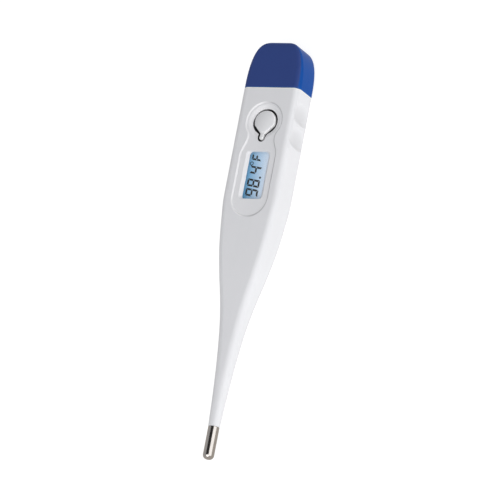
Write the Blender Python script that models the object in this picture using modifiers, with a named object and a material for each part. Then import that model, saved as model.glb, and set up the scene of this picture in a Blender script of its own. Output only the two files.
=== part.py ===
"""A pen-shaped digital thermometer, modelled as the separate pieces it is assembled from.

The frame is in metres, with +Z up. The thermometer lies on its flat back, display up:
+Y runs from the metal probe tip to the battery cap, and X = 0 is its plane of symmetry.
The origin is under the middle of its length, on the plane of the back face.

The case is a one-piece moulding. The inner frame carries the display, the circuit board and
the button cell, and slides into the case through the mouth that the battery cap closes.
"""

import math

import bmesh
import bpy
from mathutils import Matrix, Vector

MM = 0.001

# Driving dimensions
LENGTH = 127.3 * MM
HALF_WIDTH = 9.35 * MM
HALF_DEPTH = 5.0 * MM
EDGE_RADIUS = 2.0 * MM
CAP_EDGE_CRISPER = 0.8 * MM
TIP_RADIUS = 1.65 * MM
TIP_LENGTH = 9.8 * MM
CAP_LENGTH = 14.65 * MM
SIDE_WALL = 1.2 * MM
FACE_WALL = 1.3 * MM
GAP = 0.05 * MM

# Places along the length
TIP_END_Y = -LENGTH / 2
CAP_END_Y = LENGTH / 2
STEM_END_Y = TIP_END_Y + TIP_LENGTH
MOUTH_Y = CAP_END_Y - CAP_LENGTH
WINDOW_Y = 21.95 * MM
KEY_Y = 38.6 * MM
CELL_Y = 53.9 * MM

# Levels above the back face
MIDDLE_Z = HALF_DEPTH
FRONT_Z = 2 * HALF_DEPTH
PANEL_Z = FRONT_Z - 0.25 * MM
CEILING_Z = FRONT_Z - FACE_WALL
FLOOR_Z = FACE_WALL
BOARD_TOP_Z = 5.8 * MM
BOARD_BOTTOM_Z = 5.0 * MM
DECK_Z = 7.0 * MM

# The case: half width, half depth and edge radius, at places along the length
CASE_STATIONS = [
    (MOUTH_Y, HALF_WIDTH, HALF_DEPTH, EDGE_RADIUS),
    (16.0 * MM, HALF_WIDTH, HALF_DEPTH, EDGE_RADIUS),
    (8.0 * MM, 8.78 * MM, 4.85 * MM, EDGE_RADIUS),
    (0.0, 7.95 * MM, 4.5 * MM, 2.1 * MM),
    (-8.0 * MM, 6.58 * MM, 4.05 * MM, 2.2 * MM),
    (-16.0 * MM, 5.0 * MM, 3.45 * MM, 2.3 * MM),
    (-24.0 * MM, 3.83 * MM, 2.9 * MM, 2.4 * MM),
    (-34.0 * MM, 2.85 * MM, 2.5 * MM, 2.35 * MM),
    (-44.0 * MM, 2.16 * MM, 2.09 * MM, 2.04 * MM),
    (STEM_END_Y, 1.68 * MM, 1.68 * MM, 1.67 * MM),
]
RINGS_PER_SPAN = 3
CORNER_STEPS = 6
SPIGOT_RADIUS = 1.35 * MM
SPIGOT_LENGTH = 3.1 * MM
STEM_BORE_RADIUS = 0.95 * MM
CAVITY_END_Y = -40.0 * MM
CAVITY_CORNER = 0.8 * MM

# The figure-of-eight panel, the key hole and the display window in the front face
PANEL_RADIUS = 5.7 * MM
PANEL_NECK_HALF = 4.15 * MM
PANEL_NECK_FILLET = 3.14 * MM
PANEL_NECK_Y = 33.6 * MM
PANEL_LOBE_TOP_Y = 27.8 * MM
PANEL_LOBE_END_Y = 15.0 * MM
PANEL_SLOPE = 0.25 * MM
KEY_HOLE_RADIUS = 3.95 * MM
KEY_SLOT_HALF = 1.22 * MM
KEY_NECK_DROP = 4.12 * MM
KEY_SLOT_DROP = 6.4 * MM
KEY_GAP = 0.48 * MM
KEY_STANDS = 0.13 * MM
KEY_OVERLAP = 0.1 * MM
KEY_FACE_DROPS = (0.6 * MM, 0.3 * MM, 0.12 * MM, 0.0)
KEY_FACE_INSETS = (0.0, 0.2 * MM, 0.45 * MM, 0.7 * MM)
DISH_RADIUS = 5.15 * MM
DISH_DEPTH = 0.46 * MM
WINDOW_HALF = (3.85 * MM, 7.4 * MM)
WINDOW_TAPER = (0.67 * MM, 0.06 * MM)
GASKET_LAP = 0.2 * MM
GASKET_GAP = 0.15 * MM
WINDOW_CORNER = 0.7 * MM

# The finger grips: shallow scoops in both side walls
GRIP_YS = (33.6 * MM, 40.8 * MM)
GRIP_AXES = (1.6 * MM, 4.6 * MM, 5.4 * MM)
GRIP_STEEPER = 0.45
GRIP_DEPTH = 0.6 * MM

# The key turns about the end of its tongue
PIVOT_Y = 31.6 * MM
FLANGE_RADIUS = 4.6 * MM
FLANGE_Z = (7.9 * MM, 8.6 * MM)
NIB_RADIUS = 0.9 * MM
DOME_RADIUS = 2.4 * MM
DOME_HEIGHT = 0.42 * MM

# The battery cap and its collar, which plugs into the mouth of the case
COLLAR_HALF = (8.05 * MM, 3.6 * MM)
COLLAR_WALL = 1.1 * MM
COLLAR_DEPTH = 4.0 * MM
GROOVE_Y = (46.5 * MM, 47.3 * MM)
GROOVE_DEPTH = 0.6 * MM
SEAL_RADIUS = 0.29 * MM

# The inner frame and what it carries
FRAME_HALF = 7.3 * MM
FRAME_YS = (9.0 * MM, 44.5 * MM)
FRAME_ZS = (3.2 * MM, 8.3 * MM)
FRAME_WALL = 1.0 * MM
NECK_HALF = 6.2 * MM
CUP_HALF = 5.4 * MM
CUP_ZS = (2.6 * MM, 7.2 * MM)
CUP_YS = (48.9 * MM, 59.0 * MM)
CUP_FLOOR = 0.7 * MM
CELL_RADIUS = 3.95 * MM
CELL_HEIGHT = 3.6 * MM
BOARD_HALF = 6.2 * MM
BOARD_YS = (10.0 * MM, 48.6 * MM)
GLASS_HALF = (4.6 * MM, 8.2 * MM)
GLASS_LEDGE = 1.5 * MM
SCREW_Y = 46.8 * MM


def clear_scene():
    for obj in list(bpy.data.objects):
        bpy.data.objects.remove(obj)


def make_collection(name):
    collection = bpy.data.collections.new(name)
    bpy.context.scene.collection.children.link(collection)
    return collection


def make_material(name, colour, roughness, metallic=0.0, alpha=1.0):
    material = bpy.data.materials.new(name)
    material.use_nodes = True
    shader = material.node_tree.nodes["Principled BSDF"]
    shader.inputs["Base Color"].default_value = (*colour, 1.0)
    shader.inputs["Roughness"].default_value = roughness
    shader.inputs["Metallic"].default_value = metallic
    shader.inputs["Alpha"].default_value = alpha
    return material


clear_scene()
PARTS = make_collection("digital_thermometer")
CUTTERS = make_collection("cutters")

WHITE_ABS = make_material("white_abs", (0.80, 0.81, 0.84), 0.38)
WHITE_FRAME = make_material("white_frame", (0.74, 0.74, 0.72), 0.55)
BLUE_PLASTIC = make_material("blue_plastic", (0.02, 0.07, 0.30), 0.35)
STEEL = make_material("stainless_steel", (0.72, 0.70, 0.67), 0.15, 1.0)
SPRING_STEEL = make_material("spring_steel", (0.66, 0.64, 0.58), 0.3, 1.0)
BRASS = make_material("brass", (0.72, 0.52, 0.22), 0.3, 1.0)
COPPER = make_material("enamelled_copper", (0.60, 0.22, 0.08), 0.35, 1.0)
CERAMIC = make_material("ceramic", (0.78, 0.74, 0.66), 0.5)
BLACK_EPOXY = make_material("black_epoxy", (0.01, 0.01, 0.012), 0.4)
BOARD_GREEN = make_material("board_green", (0.02, 0.16, 0.06), 0.4)
RUBBER = make_material("rubber", (0.03, 0.03, 0.035), 0.75)
GASKET = make_material("gasket", (0.6, 0.6, 0.6), 0.8)
GLASS = make_material("display_glass", (0.70, 0.78, 0.82), 0.05, 0.0, 0.4)
FILM = make_material("display_film", (0.35, 0.58, 0.78), 0.25)
CLEAR = make_material("clear_lens", (0.95, 0.97, 1.0), 0.03, 0.0, 0.25)


# Building blocks


def add_object(name, mesh, material=None, smooth=True):
    """Links a mesh as a part, or as a hidden cutter where it has no material."""
    obj = bpy.data.objects.new(name, mesh)
    if material is None:
        CUTTERS.objects.link(obj)
        obj.hide_render = True
        obj.display_type = "WIRE"
        return obj
    PARTS.objects.link(obj)
    mesh.materials.append(material)
    if smooth:
        mesh.shade_smooth()
        mesh.set_sharp_from_angle(angle=math.radians(35))
    return obj


def mesh_from(bm, name):
    bmesh.ops.recalc_face_normals(bm, faces=bm.faces)
    mesh = bpy.data.meshes.new(name)
    bm.to_mesh(mesh)
    bm.free()
    return mesh


def box(name, low, high, material=None):
    low, high = Vector(low), Vector(high)
    bm = bmesh.new()
    bmesh.ops.create_cube(bm, size=1.0)
    bmesh.ops.scale(bm, vec=high - low, verts=bm.verts)
    bmesh.ops.translate(bm, vec=(low + high) / 2, verts=bm.verts)
    return add_object(name, mesh_from(bm, name), material, smooth=False)


def upright(name, centre, radius, low_z, high_z, material=None, segments=32, top_radius=None):
    """A cylinder on a vertical axis, or a cone where top_radius differs from radius."""
    bm = bmesh.new()
    bmesh.ops.create_cone(
        bm,
        cap_ends=True,
        segments=segments,
        radius1=radius,
        radius2=radius if top_radius is None else top_radius,
        depth=high_z - low_z,
    )
    bmesh.ops.translate(bm, vec=(centre[0], centre[1], (low_z + high_z) / 2), verts=bm.verts)
    return add_object(name, mesh_from(bm, name), material)


def loft(name, rings, material=None):
    """A closed skin through rings that all have the same number of points."""
    bm = bmesh.new()
    loops = [[bm.verts.new(point) for point in ring] for ring in rings]
    for first, second in zip(loops, loops[1:]):
        for i in range(len(first)):
            j = (i + 1) % len(first)
            bm.faces.new((first[i], first[j], second[j], second[i]))
    bm.faces.new(loops[0])
    bm.faces.new(loops[-1])
    return add_object(name, mesh_from(bm, name), material)


def turned(name, profile, place, material, turn=None, steps=32):
    """A profile of (radius, height) points, top to bottom down the outside, turned about Z."""
    mesh = bpy.data.meshes.new(name)
    points = [(radius, 0.0, height) for radius, height in profile]
    mesh.from_pydata(points, [(i, i + 1) for i in range(len(points) - 1)], [])
    obj = add_object(name, mesh, material, smooth=False)
    obj.location = place
    if turn is not None:
        obj.rotation_euler = turn
    screw = obj.modifiers.new("turn", "SCREW")
    screw.steps = steps
    screw.render_steps = steps
    screw.use_merge_vertices = True
    screw.merge_threshold = 0.00001
    screw.use_smooth_shade = True
    return obj


def wire(name, points, radius, material, cyclic=False):
    curve = bpy.data.curves.new(name, "CURVE")
    curve.dimensions = "3D"
    curve.bevel_depth = radius
    curve.bevel_resolution = 2
    curve.use_fill_caps = not cyclic
    spline = curve.splines.new("POLY")
    spline.points.add(len(points) - 1)
    for spline_point, point in zip(spline.points, points):
        spline_point.co = (*point, 1.0)
    spline.use_cyclic_u = cyclic
    curve.materials.append(material)
    obj = bpy.data.objects.new(name, curve)
    PARTS.objects.link(obj)
    return obj


def bent_strip(name, path, x, width, thickness, material):
    """Sheet metal that follows a path of (y, z) points, width across X."""
    bm = bmesh.new()
    rows = [
        [bm.verts.new((x + side * width / 2, y, z)) for side in (-1, 1)] for y, z in path
    ]
    for (a, b), (c, d) in zip(rows, rows[1:]):
        bm.faces.new((a, b, d, c))
    obj = add_object(name, mesh_from(bm, name), material, smooth=False)
    solidify = obj.modifiers.new("thickness", "SOLIDIFY")
    solidify.thickness = thickness
    solidify.offset = 0.0
    solidify.use_even_offset = True
    return obj


def boolean(target, tool, operation):
    modifier = target.modifiers.new(tool.name, "BOOLEAN")
    modifier.operation = operation
    modifier.object = tool
    modifier.solver = "EXACT"


def cut(target, *tools):
    for tool in tools:
        boolean(target, tool, "DIFFERENCE")


def join(target, *tools):
    for tool in tools:
        boolean(target, tool, "UNION")


def soften(obj, width, segments=1):
    bevel = obj.modifiers.new("edges", "BEVEL")
    bevel.width = width
    bevel.segments = segments
    bevel.limit_method = "ANGLE"


# Outlines


def arc(centre, radius, start, end, steps):
    """Points on a circle, from one angle to another in degrees, both ends included."""
    return [
        (
            centre[0] + radius * math.cos(math.radians(start + (end - start) * i / steps)),
            centre[1] + radius * math.sin(math.radians(start + (end - start) * i / steps)),
        )
        for i in range(steps + 1)
    ]


def rounded_box(half_x, half_y, radius, steps=CORNER_STEPS, centre=(0.0, 0.0)):
    """A rectangle with round corners, anticlockwise."""
    radius = min(radius, half_x - GAP, half_y - GAP)
    points = []
    for corner, (sx, sy) in enumerate(((1, 1), (-1, 1), (-1, -1), (1, -1))):
        middle = (centre[0] + sx * (half_x - radius), centre[1] + sy * (half_y - radius))
        points += arc(middle, radius, 90 * corner, 90 * corner + 90, steps)
    return points


def section(y, half_width, half_depth, radius, steps=CORNER_STEPS):
    """A ring across the length, around the middle plane."""
    outline = rounded_box(half_width, half_depth, radius, steps)
    return [(x, y, MIDDLE_Z + z) for x, z in outline]


def flat(outline, z):
    return [(x, y, z) for x, y in outline]


def prism(name, outline, low_z, high_z, material=None):
    return loft(name, [flat(outline, low_z), flat(outline, high_z)], material)


def blend(a, b, share):
    return a + (b - a) * share


def smooth_stations(stations, per_span):
    """More stations on a smooth curve through the given ones, flat at the first span."""
    rows = []
    for i in range(len(stations) - 1):
        before = stations[max(i - 1, 0)]
        here, after = stations[i], stations[i + 1]
        beyond = stations[min(i + 2, len(stations) - 1)]
        span = after[0] - here[0]
        steps = 1 if i == 0 else per_span
        for step in range(steps):
            t = step / steps
            row = [here[0] + span * t]
            for k in range(1, len(here)):
                slope_in = (after[k] - before[k]) / (after[0] - before[0]) * span
                slope_out = (beyond[k] - here[k]) / (beyond[0] - here[0]) * span
                if i <= 1:
                    slope_in = 0.0
                row.append(
                    here[k] * (2 * t**3 - 3 * t**2 + 1)
                    + slope_in * (t**3 - 2 * t**2 + t)
                    + after[k] * (3 * t**2 - 2 * t**3)
                    + slope_out * (t**3 - t**2)
                )
            rows.append(tuple(row))
    return rows + [tuple(stations[-1])]


def eased(a, b, share):
    """From a to b on an S-shaped curve."""
    return blend(a, b, (1 - math.cos(math.pi * share)) / 2)


def panel_outline(grow=0.0):
    """The figure of eight: a round head about the key, a neck, and a lobe about the window."""
    radius, neck, fillet = PANEL_RADIUS + grow, PANEL_NECK_HALF + grow, PANEL_NECK_FILLET - grow
    fillet_x = neck + fillet
    meeting = math.degrees(math.atan2(KEY_Y - PANEL_NECK_Y, fillet_x))
    head = arc((0.0, KEY_Y), radius, -meeting, 90, 12)
    to_neck = arc((fillet_x, PANEL_NECK_Y), fillet, 180, 180 - meeting, 4)[:-1]
    steps = 5
    to_lobe = [
        (eased(radius, neck, i / steps), blend(PANEL_LOBE_TOP_Y, PANEL_NECK_Y, i / steps))
        for i in range(steps)
    ]
    foot = arc((0.0, PANEL_LOBE_END_Y), radius, -90, 0, 8)
    right = foot + to_lobe + to_neck + head
    left = [(-x, y) for x, y in reversed(right[1:-1])]
    return right + left


def keyhole_outline(grow=0.0):
    """A circle that runs straight into a short round-ended slot towards the display."""
    half = KEY_SLOT_HALF + grow
    neck_y = KEY_Y - KEY_NECK_DROP - 0.4 * grow
    head = arc((0.0, KEY_Y), KEY_HOLE_RADIUS + grow, -24, 204, 20)
    tail = arc((0.0, KEY_Y - KEY_SLOT_DROP + KEY_SLOT_HALF), half, 180, 360, 6)
    return head + [(-half, neck_y)] + tail + [(half, neck_y)]


# The case


def build_case():
    stations = smooth_stations(CASE_STATIONS, RINGS_PER_SPAN)
    rings = [section(*station) for station in stations]
    for y in (STEM_END_Y, STEM_END_Y - SPIGOT_LENGTH):
        rings.append(section(y, SPIGOT_RADIUS, SPIGOT_RADIUS, SPIGOT_RADIUS))
    case = loft("case_shell", rings, WHITE_ABS)

    inner = []
    for y, half_width, half_depth, _ in stations:
        if y < CAVITY_END_Y:
            break
        half_width -= SIDE_WALL
        half_depth -= FACE_WALL
        inner.append(section(y, half_width, half_depth, min(CAVITY_CORNER, half_depth), 3))
    inner.insert(0, [(x, MOUTH_Y + 1 * MM, z) for x, _, z in inner[0]])
    bore_radius = STEM_BORE_RADIUS
    inner.append(section(CAVITY_END_Y, bore_radius, bore_radius, bore_radius, 3))
    inner.append(
        section(STEM_END_Y - SPIGOT_LENGTH - 1 * MM, bore_radius, bore_radius, bore_radius, 3)
    )
    cut(case, loft("case_cavity", inner))

    foot, rim = PANEL_Z, FRONT_Z + PANEL_SLOPE
    panel = loft(
        "panel_cutter",
        [flat(panel_outline(), foot), flat(panel_outline(PANEL_SLOPE * 2), rim)],
    )
    dish = upright(
        "dish_cutter", (0.0, KEY_Y), KEY_HOLE_RADIUS - 0.2 * MM, PANEL_Z - DISH_DEPTH,
        PANEL_Z + 0.1 * MM, segments=40, top_radius=DISH_RADIUS,
    )
    key_hole = prism(
        "key_hole_cutter",
        keyhole_outline(),
        CEILING_Z - 0.5 * MM,
        FRONT_Z + 0.5 * MM,
    )
    spare = 0.5 * MM
    levels = []
    for z in (CEILING_Z - spare, PANEL_Z + spare):
        share = (PANEL_Z - z) / (PANEL_Z - CEILING_Z)
        half = [size - taper * share for size, taper in zip(WINDOW_HALF, WINDOW_TAPER)]
        levels.append(flat(rounded_box(*half, WINDOW_CORNER, 4, (0.0, WINDOW_Y)), z))
    window = loft("window_cutter", levels)
    cut(case, panel, dish, key_hole, window)
    cut(case, *[grip_cutter(side, i, y) for side in (-1, 1) for i, y in enumerate(GRIP_YS)])


def grip_cutter(side, index, y):
    """A scoop that is steep on its side towards the tip, and shallow towards the cap."""
    bm = bmesh.new()
    bmesh.ops.create_uvsphere(bm, u_segments=24, v_segments=12, radius=1.0)
    bmesh.ops.scale(bm, vec=GRIP_AXES, verts=bm.verts)
    toward_tip = [vert for vert in bm.verts if vert.co.y < 0.0]
    bmesh.ops.scale(bm, vec=(1.0, GRIP_STEEPER, 1.0), verts=toward_tip)
    x = side * (HALF_WIDTH + GRIP_AXES[0] - GRIP_DEPTH)
    bmesh.ops.translate(bm, vec=(x, y, MIDDLE_Z), verts=bm.verts)
    name = f"grip_cutter_{'left' if side < 0 else 'right'}_{index}"
    return add_object(name, mesh_from(bm, name))


# The probe: tip, sensor and its leads


def build_probe():
    toward_tip = (math.radians(90), 0.0, 0.0)
    wall, corner = 0.25 * MM, 1.3 * MM
    bore = TIP_RADIUS - wall
    length = TIP_LENGTH - GAP
    outer = [(0.0, length)] + [
        (TIP_RADIUS - corner + x, length - corner + z)
        for x, z in reversed(arc((0.0, 0.0), corner, 0, 90, 5))
    ]
    inner = [(bore, 0.0), (bore, length - corner), (bore - 0.9 * MM, length - wall), (0.0, length - wall)]
    turned(
        "probe_tip", outer + [(TIP_RADIUS, 0.0)] + inner,
        (0.0, STEM_END_Y - GAP, MIDDLE_Z), STEEL, toward_tip, steps=24,
    )

    bead_y = TIP_END_Y + 2.3 * MM
    potting_low, potting_high = TIP_END_Y + 1.6 * MM, TIP_END_Y + 5.0 * MM
    pocket, skin = 0.75 * MM, 1.34 * MM
    turned(
        "tip_potting",
        [
            (0.0, potting_high - potting_low + 1.0 * MM),
            (0.55 * MM, potting_high - potting_low + 1.0 * MM),
            (skin, potting_high - potting_low),
            (skin, 0.0),
            (pocket, 0.0),
            (pocket, potting_high - potting_low - 0.2 * MM),
            (0.0, potting_high - potting_low + 0.35 * MM),
        ],
        (0.0, potting_high, MIDDLE_Z), CERAMIC, toward_tip, steps=20,
    )

    bm = bmesh.new()
    bmesh.ops.create_uvsphere(bm, u_segments=14, v_segments=8, radius=1.0)
    bmesh.ops.scale(bm, vec=(0.55 * MM, 0.75 * MM, 0.55 * MM), verts=bm.verts)
    bmesh.ops.translate(bm, vec=(0.0, bead_y, MIDDLE_Z), verts=bm.verts)
    add_object("thermistor_bead", mesh_from(bm, "thermistor_bead"), BLACK_EPOXY)

    for side, word in ((-1, "left"), (1, "right")):
        route = [
            (0.22, bead_y / MM + 0.85, 5.0),
            (0.28, -54.0, 5.0),
            (0.3, -30.0, 5.0),
            (0.35, -8.0, 4.98),
            (0.6, 0.0, 4.92),
            (1.1, 5.0, 4.86),
            (1.4, 8.5, 4.83),
            (1.5, 13.0, 4.82),
        ]
        points = [(side * x * MM, y * MM, z * MM) for x, y, z in route]
        wire(f"sensor_lead_{word}", points, 0.12 * MM, COPPER)


# The key and the switch under it


def build_key():
    top = PANEL_Z + KEY_STANDS
    nib_foot = BOARD_TOP_Z + DOME_HEIGHT + GAP
    profile = [
        (0.0, FLANGE_Z[1]),
        (FLANGE_RADIUS, FLANGE_Z[1]),
        (FLANGE_RADIUS, FLANGE_Z[0]),
        (NIB_RADIUS + 0.2 * MM, FLANGE_Z[0]),
        (NIB_RADIUS, nib_foot),
        (0.0, nib_foot),
    ]
    key = turned("power_key", profile, (0.0, KEY_Y, 0.0), WHITE_ABS, steps=40)
    levels = [(FLANGE_Z[0] + KEY_OVERLAP, 0.0)]
    levels += [(top - drop, inset) for drop, inset in zip(KEY_FACE_DROPS, KEY_FACE_INSETS)]
    face = loft("key_face", [flat(keyhole_outline(-KEY_GAP - inset), z) for z, inset in levels])
    heel = box(
        "key_heel",
        (-1.9 * MM, PIVOT_Y - 0.5 * MM, FLANGE_Z[0] + 0.05 * MM),
        (1.9 * MM, KEY_Y - 3.2 * MM, FLANGE_Z[1] - 0.03 * MM),
    )
    join(key, face, heel)

    dome = [
        (DOME_RADIUS * math.sin(a), DOME_HEIGHT * math.cos(a))
        for a in [math.radians(90 * i / 6) for i in range(7)]
    ]
    sheet = 0.08 * MM
    under = [
        ((DOME_RADIUS - 0.12 * MM) * math.sin(a), (DOME_HEIGHT - sheet) * math.cos(a))
        for a in [math.radians(90 * i / 6) for i in range(6, -1, -1)]
    ]
    turned(
        "snap_dome", dome + under, (0.0, KEY_Y, BOARD_TOP_Z + 0.02 * MM), SPRING_STEEL, steps=24
    )


# The display


def build_display():
    half_x, half_y = GLASS_HALF

    def layer(name, low_z, high_z, material, inset=0.0, right=0.0, rounding=0.08):
        obj = box(
            name,
            (-half_x + inset * MM, WINDOW_Y - half_y + inset * MM, low_z * MM),
            (half_x - inset * MM - right, WINDOW_Y + half_y - inset * MM, high_z * MM),
            material,
        )
        soften(obj, rounding * MM)

    layer("lcd_reflector", 6.5, 6.62, FILM, inset=0.15, right=GLASS_LEDGE, rounding=0.03)
    layer("lcd_rear_glass", 6.64, 7.14, GLASS, right=GLASS_LEDGE)
    layer("lcd_front_glass", 7.16, 7.66, GLASS)
    layer("lcd_polariser", 7.68, 7.8, FILM, inset=0.2, rounding=0.03)
    layer("display_lens", 7.9, 8.5, CLEAR)

    strip_low, strip_high = BOARD_TOP_Z + GAP, 7.12 * MM
    strip = box(
        "zebra_strip",
        (half_x - GLASS_LEDGE + 0.2 * MM, WINDOW_Y - 7.4 * MM, strip_low),
        (half_x - 0.1 * MM, WINDOW_Y + 7.4 * MM, strip_high),
        RUBBER,
    )
    soften(strip, 0.1 * MM)

    wide, long = WINDOW_HALF
    centre = (0.0, WINDOW_Y)
    gasket = prism(
        "lens_gasket", rounded_box(half_x, half_y, 0.6 * MM, 3, centre),
        8.53 * MM, CEILING_Z - 0.03 * MM, GASKET,
    )
    opening = prism(
        "gasket_cutter",
        rounded_box(wide - GASKET_LAP, long + GASKET_GAP, 0.6 * MM, 3, centre), 8.0 * MM, 9.0 * MM,
    )
    cut(gasket, opening)


# The frame, the board and what is on it


def build_frame():
    y0, y1 = FRAME_YS
    z0, z1 = FRAME_ZS
    frame = prism(
        "inner_frame",
        rounded_box(FRAME_HALF, (y1 - y0) / 2, 1.0 * MM, 3, (0.0, (y0 + y1) / 2)),
        z0, z1, WHITE_FRAME,
    )
    neck = box(
        "frame_neck",
        (-NECK_HALF, y1 - 1.0 * MM, BOARD_TOP_Z + 0.1 * MM),
        (NECK_HALF, CUP_YS[0] + 0.5 * MM, 6.6 * MM),
    )
    cup_middle = (0.0, (CUP_YS[0] + CUP_YS[1]) / 2)
    cup = prism(
        "frame_cup",
        rounded_box(CUP_HALF, (CUP_YS[1] - CUP_YS[0]) / 2, 1.8 * MM, 4, cup_middle), *CUP_ZS,
    )
    join(frame, neck, cup)

    inside = FRAME_HALF - FRAME_WALL
    half_x, half_y = GLASS_HALF
    play = 0.12 * MM
    tools = [
        box(
            "deck_cutter",
            (-inside, y0 + FRAME_WALL, DECK_Z),
            (inside, y1 - FRAME_WALL, z1 + 1 * MM),
        ),
        box(
            "board_cutter",
            (-inside, y0 + FRAME_WALL - 0.1 * MM, z0 - 1 * MM),
            (inside, y1 + 0.1 * MM, BOARD_TOP_Z + 0.08 * MM),
        ),
        box(
            "lcd_cutter",
            (-half_x - play, WINDOW_Y - half_y - play, 6.45 * MM),
            (half_x + play, WINDOW_Y + half_y + play, z1),
        ),
        box(
            "zebra_cutter",
            (half_x - GLASS_LEDGE + 0.05 * MM, WINDOW_Y - 7.6 * MM, 5.0 * MM),
            (half_x + 0.05 * MM, WINDOW_Y + 7.6 * MM, DECK_Z),
        ),
        box(
            "lead_notch",
            (-2.4 * MM, y0 - 1 * MM, z0 - 1 * MM),
            (2.4 * MM, y0 + 3 * MM, 5.3 * MM),
        ),
        box(
            "mouth_notch",
            (-inside, y1 - 2 * MM, 6.6 * MM),
            (inside, y1 + 1 * MM, z1 + 1 * MM),
        ),
        upright("dome_cutter", (0.0, KEY_Y), 3.1 * MM, 5.0 * MM, 8.0 * MM, segments=28),
        upright(
            "cell_cutter", (0.0, CELL_Y), CELL_RADIUS + 0.15 * MM, CUP_ZS[0] + CUP_FLOOR,
            9.0 * MM, segments=32,
        ),
        box(
            "contact_slot",
            (-1.6 * MM, CUP_YS[0] - 1 * MM, CUP_ZS[0] + CUP_FLOOR),
            (1.6 * MM, CELL_Y, 5.2 * MM),
        ),
        box(
            "thumb_slot",
            (-1.8 * MM, CUP_YS[1] - 2 * MM, 4.4 * MM),
            (1.8 * MM, CUP_YS[1] + 1 * MM, 8.0 * MM),
        ),
        upright("screw_cutter", (0.0, SCREW_Y), 0.75 * MM, 5.0 * MM, 8.0 * MM, segments=16),
    ]
    cut(frame, *tools)


def build_board():
    board = prism(
        "circuit_board",
        rounded_box(
            BOARD_HALF, (BOARD_YS[1] - BOARD_YS[0]) / 2, 0.6 * MM, 3,
            (0.0, (BOARD_YS[0] + BOARD_YS[1]) / 2),
        ),
        BOARD_BOTTOM_Z, BOARD_TOP_Z, BOARD_GREEN,
    )
    cut(
        board,
        upright("board_hole_cutter", (0.0, SCREW_Y), 0.85 * MM, 4.0 * MM, 7.0 * MM, segments=16),
    )

    under = BOARD_BOTTOM_Z - GAP
    blob_radius, blob_height = 3.2 * MM, 0.95 * MM
    blob = [
        (blob_radius * math.sin(a), blob_height * math.cos(a) ** 0.6)
        for a in [math.radians(90 * i / 7) for i in range(7)]
    ] + [(blob_radius, 0.0), (0.0, 0.0)]
    turned(
        "chip_blob", blob, (0.0, 24.0 * MM, under), BLACK_EPOXY, (math.radians(180), 0.0, 0.0),
        steps=28,
    )

    resistor, capacitor = (0.8, 1.6, 0.45), (1.25, 2.0, 0.85)
    chips = [
        ("chip_resistor_1", -4.2, 14.5, resistor, BLACK_EPOXY),
        ("chip_resistor_2", -4.2, 18.5, resistor, BLACK_EPOXY),
        ("chip_resistor_3", 4.4, 31.0, resistor, BLACK_EPOXY),
        ("chip_capacitor_1", 4.2, 15.5, capacitor, CERAMIC),
        ("chip_capacitor_2", -4.2, 32.0, capacitor, CERAMIC),
    ]
    for name, x, y, (wide, long, high), material in chips:
        chip = box(
            name,
            ((x - wide / 2) * MM, (y - long / 2) * MM, under - high * MM),
            ((x + wide / 2) * MM, (y + long / 2) * MM, under),
            material,
        )
        soften(chip, 0.06 * MM)

    head_z = 6.82 * MM
    turned(
        "frame_screw",
        [
            (0.0, 0.5 * MM), (0.7 * MM, 0.45 * MM), (1.15 * MM, 0.25 * MM), (1.25 * MM, 0.0),
            (0.62 * MM, 0.0), (0.62 * MM, -1.8 * MM), (0.0, -2.1 * MM),
        ],
        (0.0, SCREW_Y, head_z), STEEL, steps=20,
    )


# The buzzer on the floor of the case


def build_buzzer():
    centre = (0.0, 24.0 * MM)
    plate_z = FLOOR_Z + GAP
    upright("buzzer_plate", centre, 6.0 * MM, plate_z, plate_z + 0.2 * MM, BRASS)
    disc_z = plate_z + 0.22 * MM
    upright("buzzer_ceramic", centre, 4.4 * MM, disc_z, disc_z + 0.2 * MM, CERAMIC)
    radius = 0.15 * MM
    over_plate, over_disc = plate_z + 0.42 * MM, disc_z + 0.4 * MM
    under_board = BOARD_BOTTOM_Z - GAP - radius
    routes = {
        "buzzer_lead_1": [
            (5.2 * MM, 24.0 * MM, over_plate), (5.2 * MM, 29.0 * MM, 2.1 * MM),
            (5.0 * MM, 33.5 * MM, 2.6 * MM), (4.2 * MM, 36.5 * MM, 3.8 * MM),
            (3.4 * MM, 38.0 * MM, 4.6 * MM), (2.6 * MM, 39.5 * MM, under_board),
            (2.4 * MM, 41.0 * MM, under_board),
        ],
        "buzzer_lead_2": [
            (-1.0 * MM, 24.5 * MM, over_disc), (-1.4 * MM, 29.0 * MM, 2.3 * MM),
            (-1.8 * MM, 33.5 * MM, 2.8 * MM), (-2.1 * MM, 36.5 * MM, 3.8 * MM),
            (-2.4 * MM, 38.0 * MM, 4.6 * MM), (-2.5 * MM, 39.5 * MM, under_board),
            (-2.4 * MM, 41.0 * MM, under_board),
        ],
    }
    for name, points in routes.items():
        wire(name, points, radius, COPPER)


# The button cell and its contacts


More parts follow.
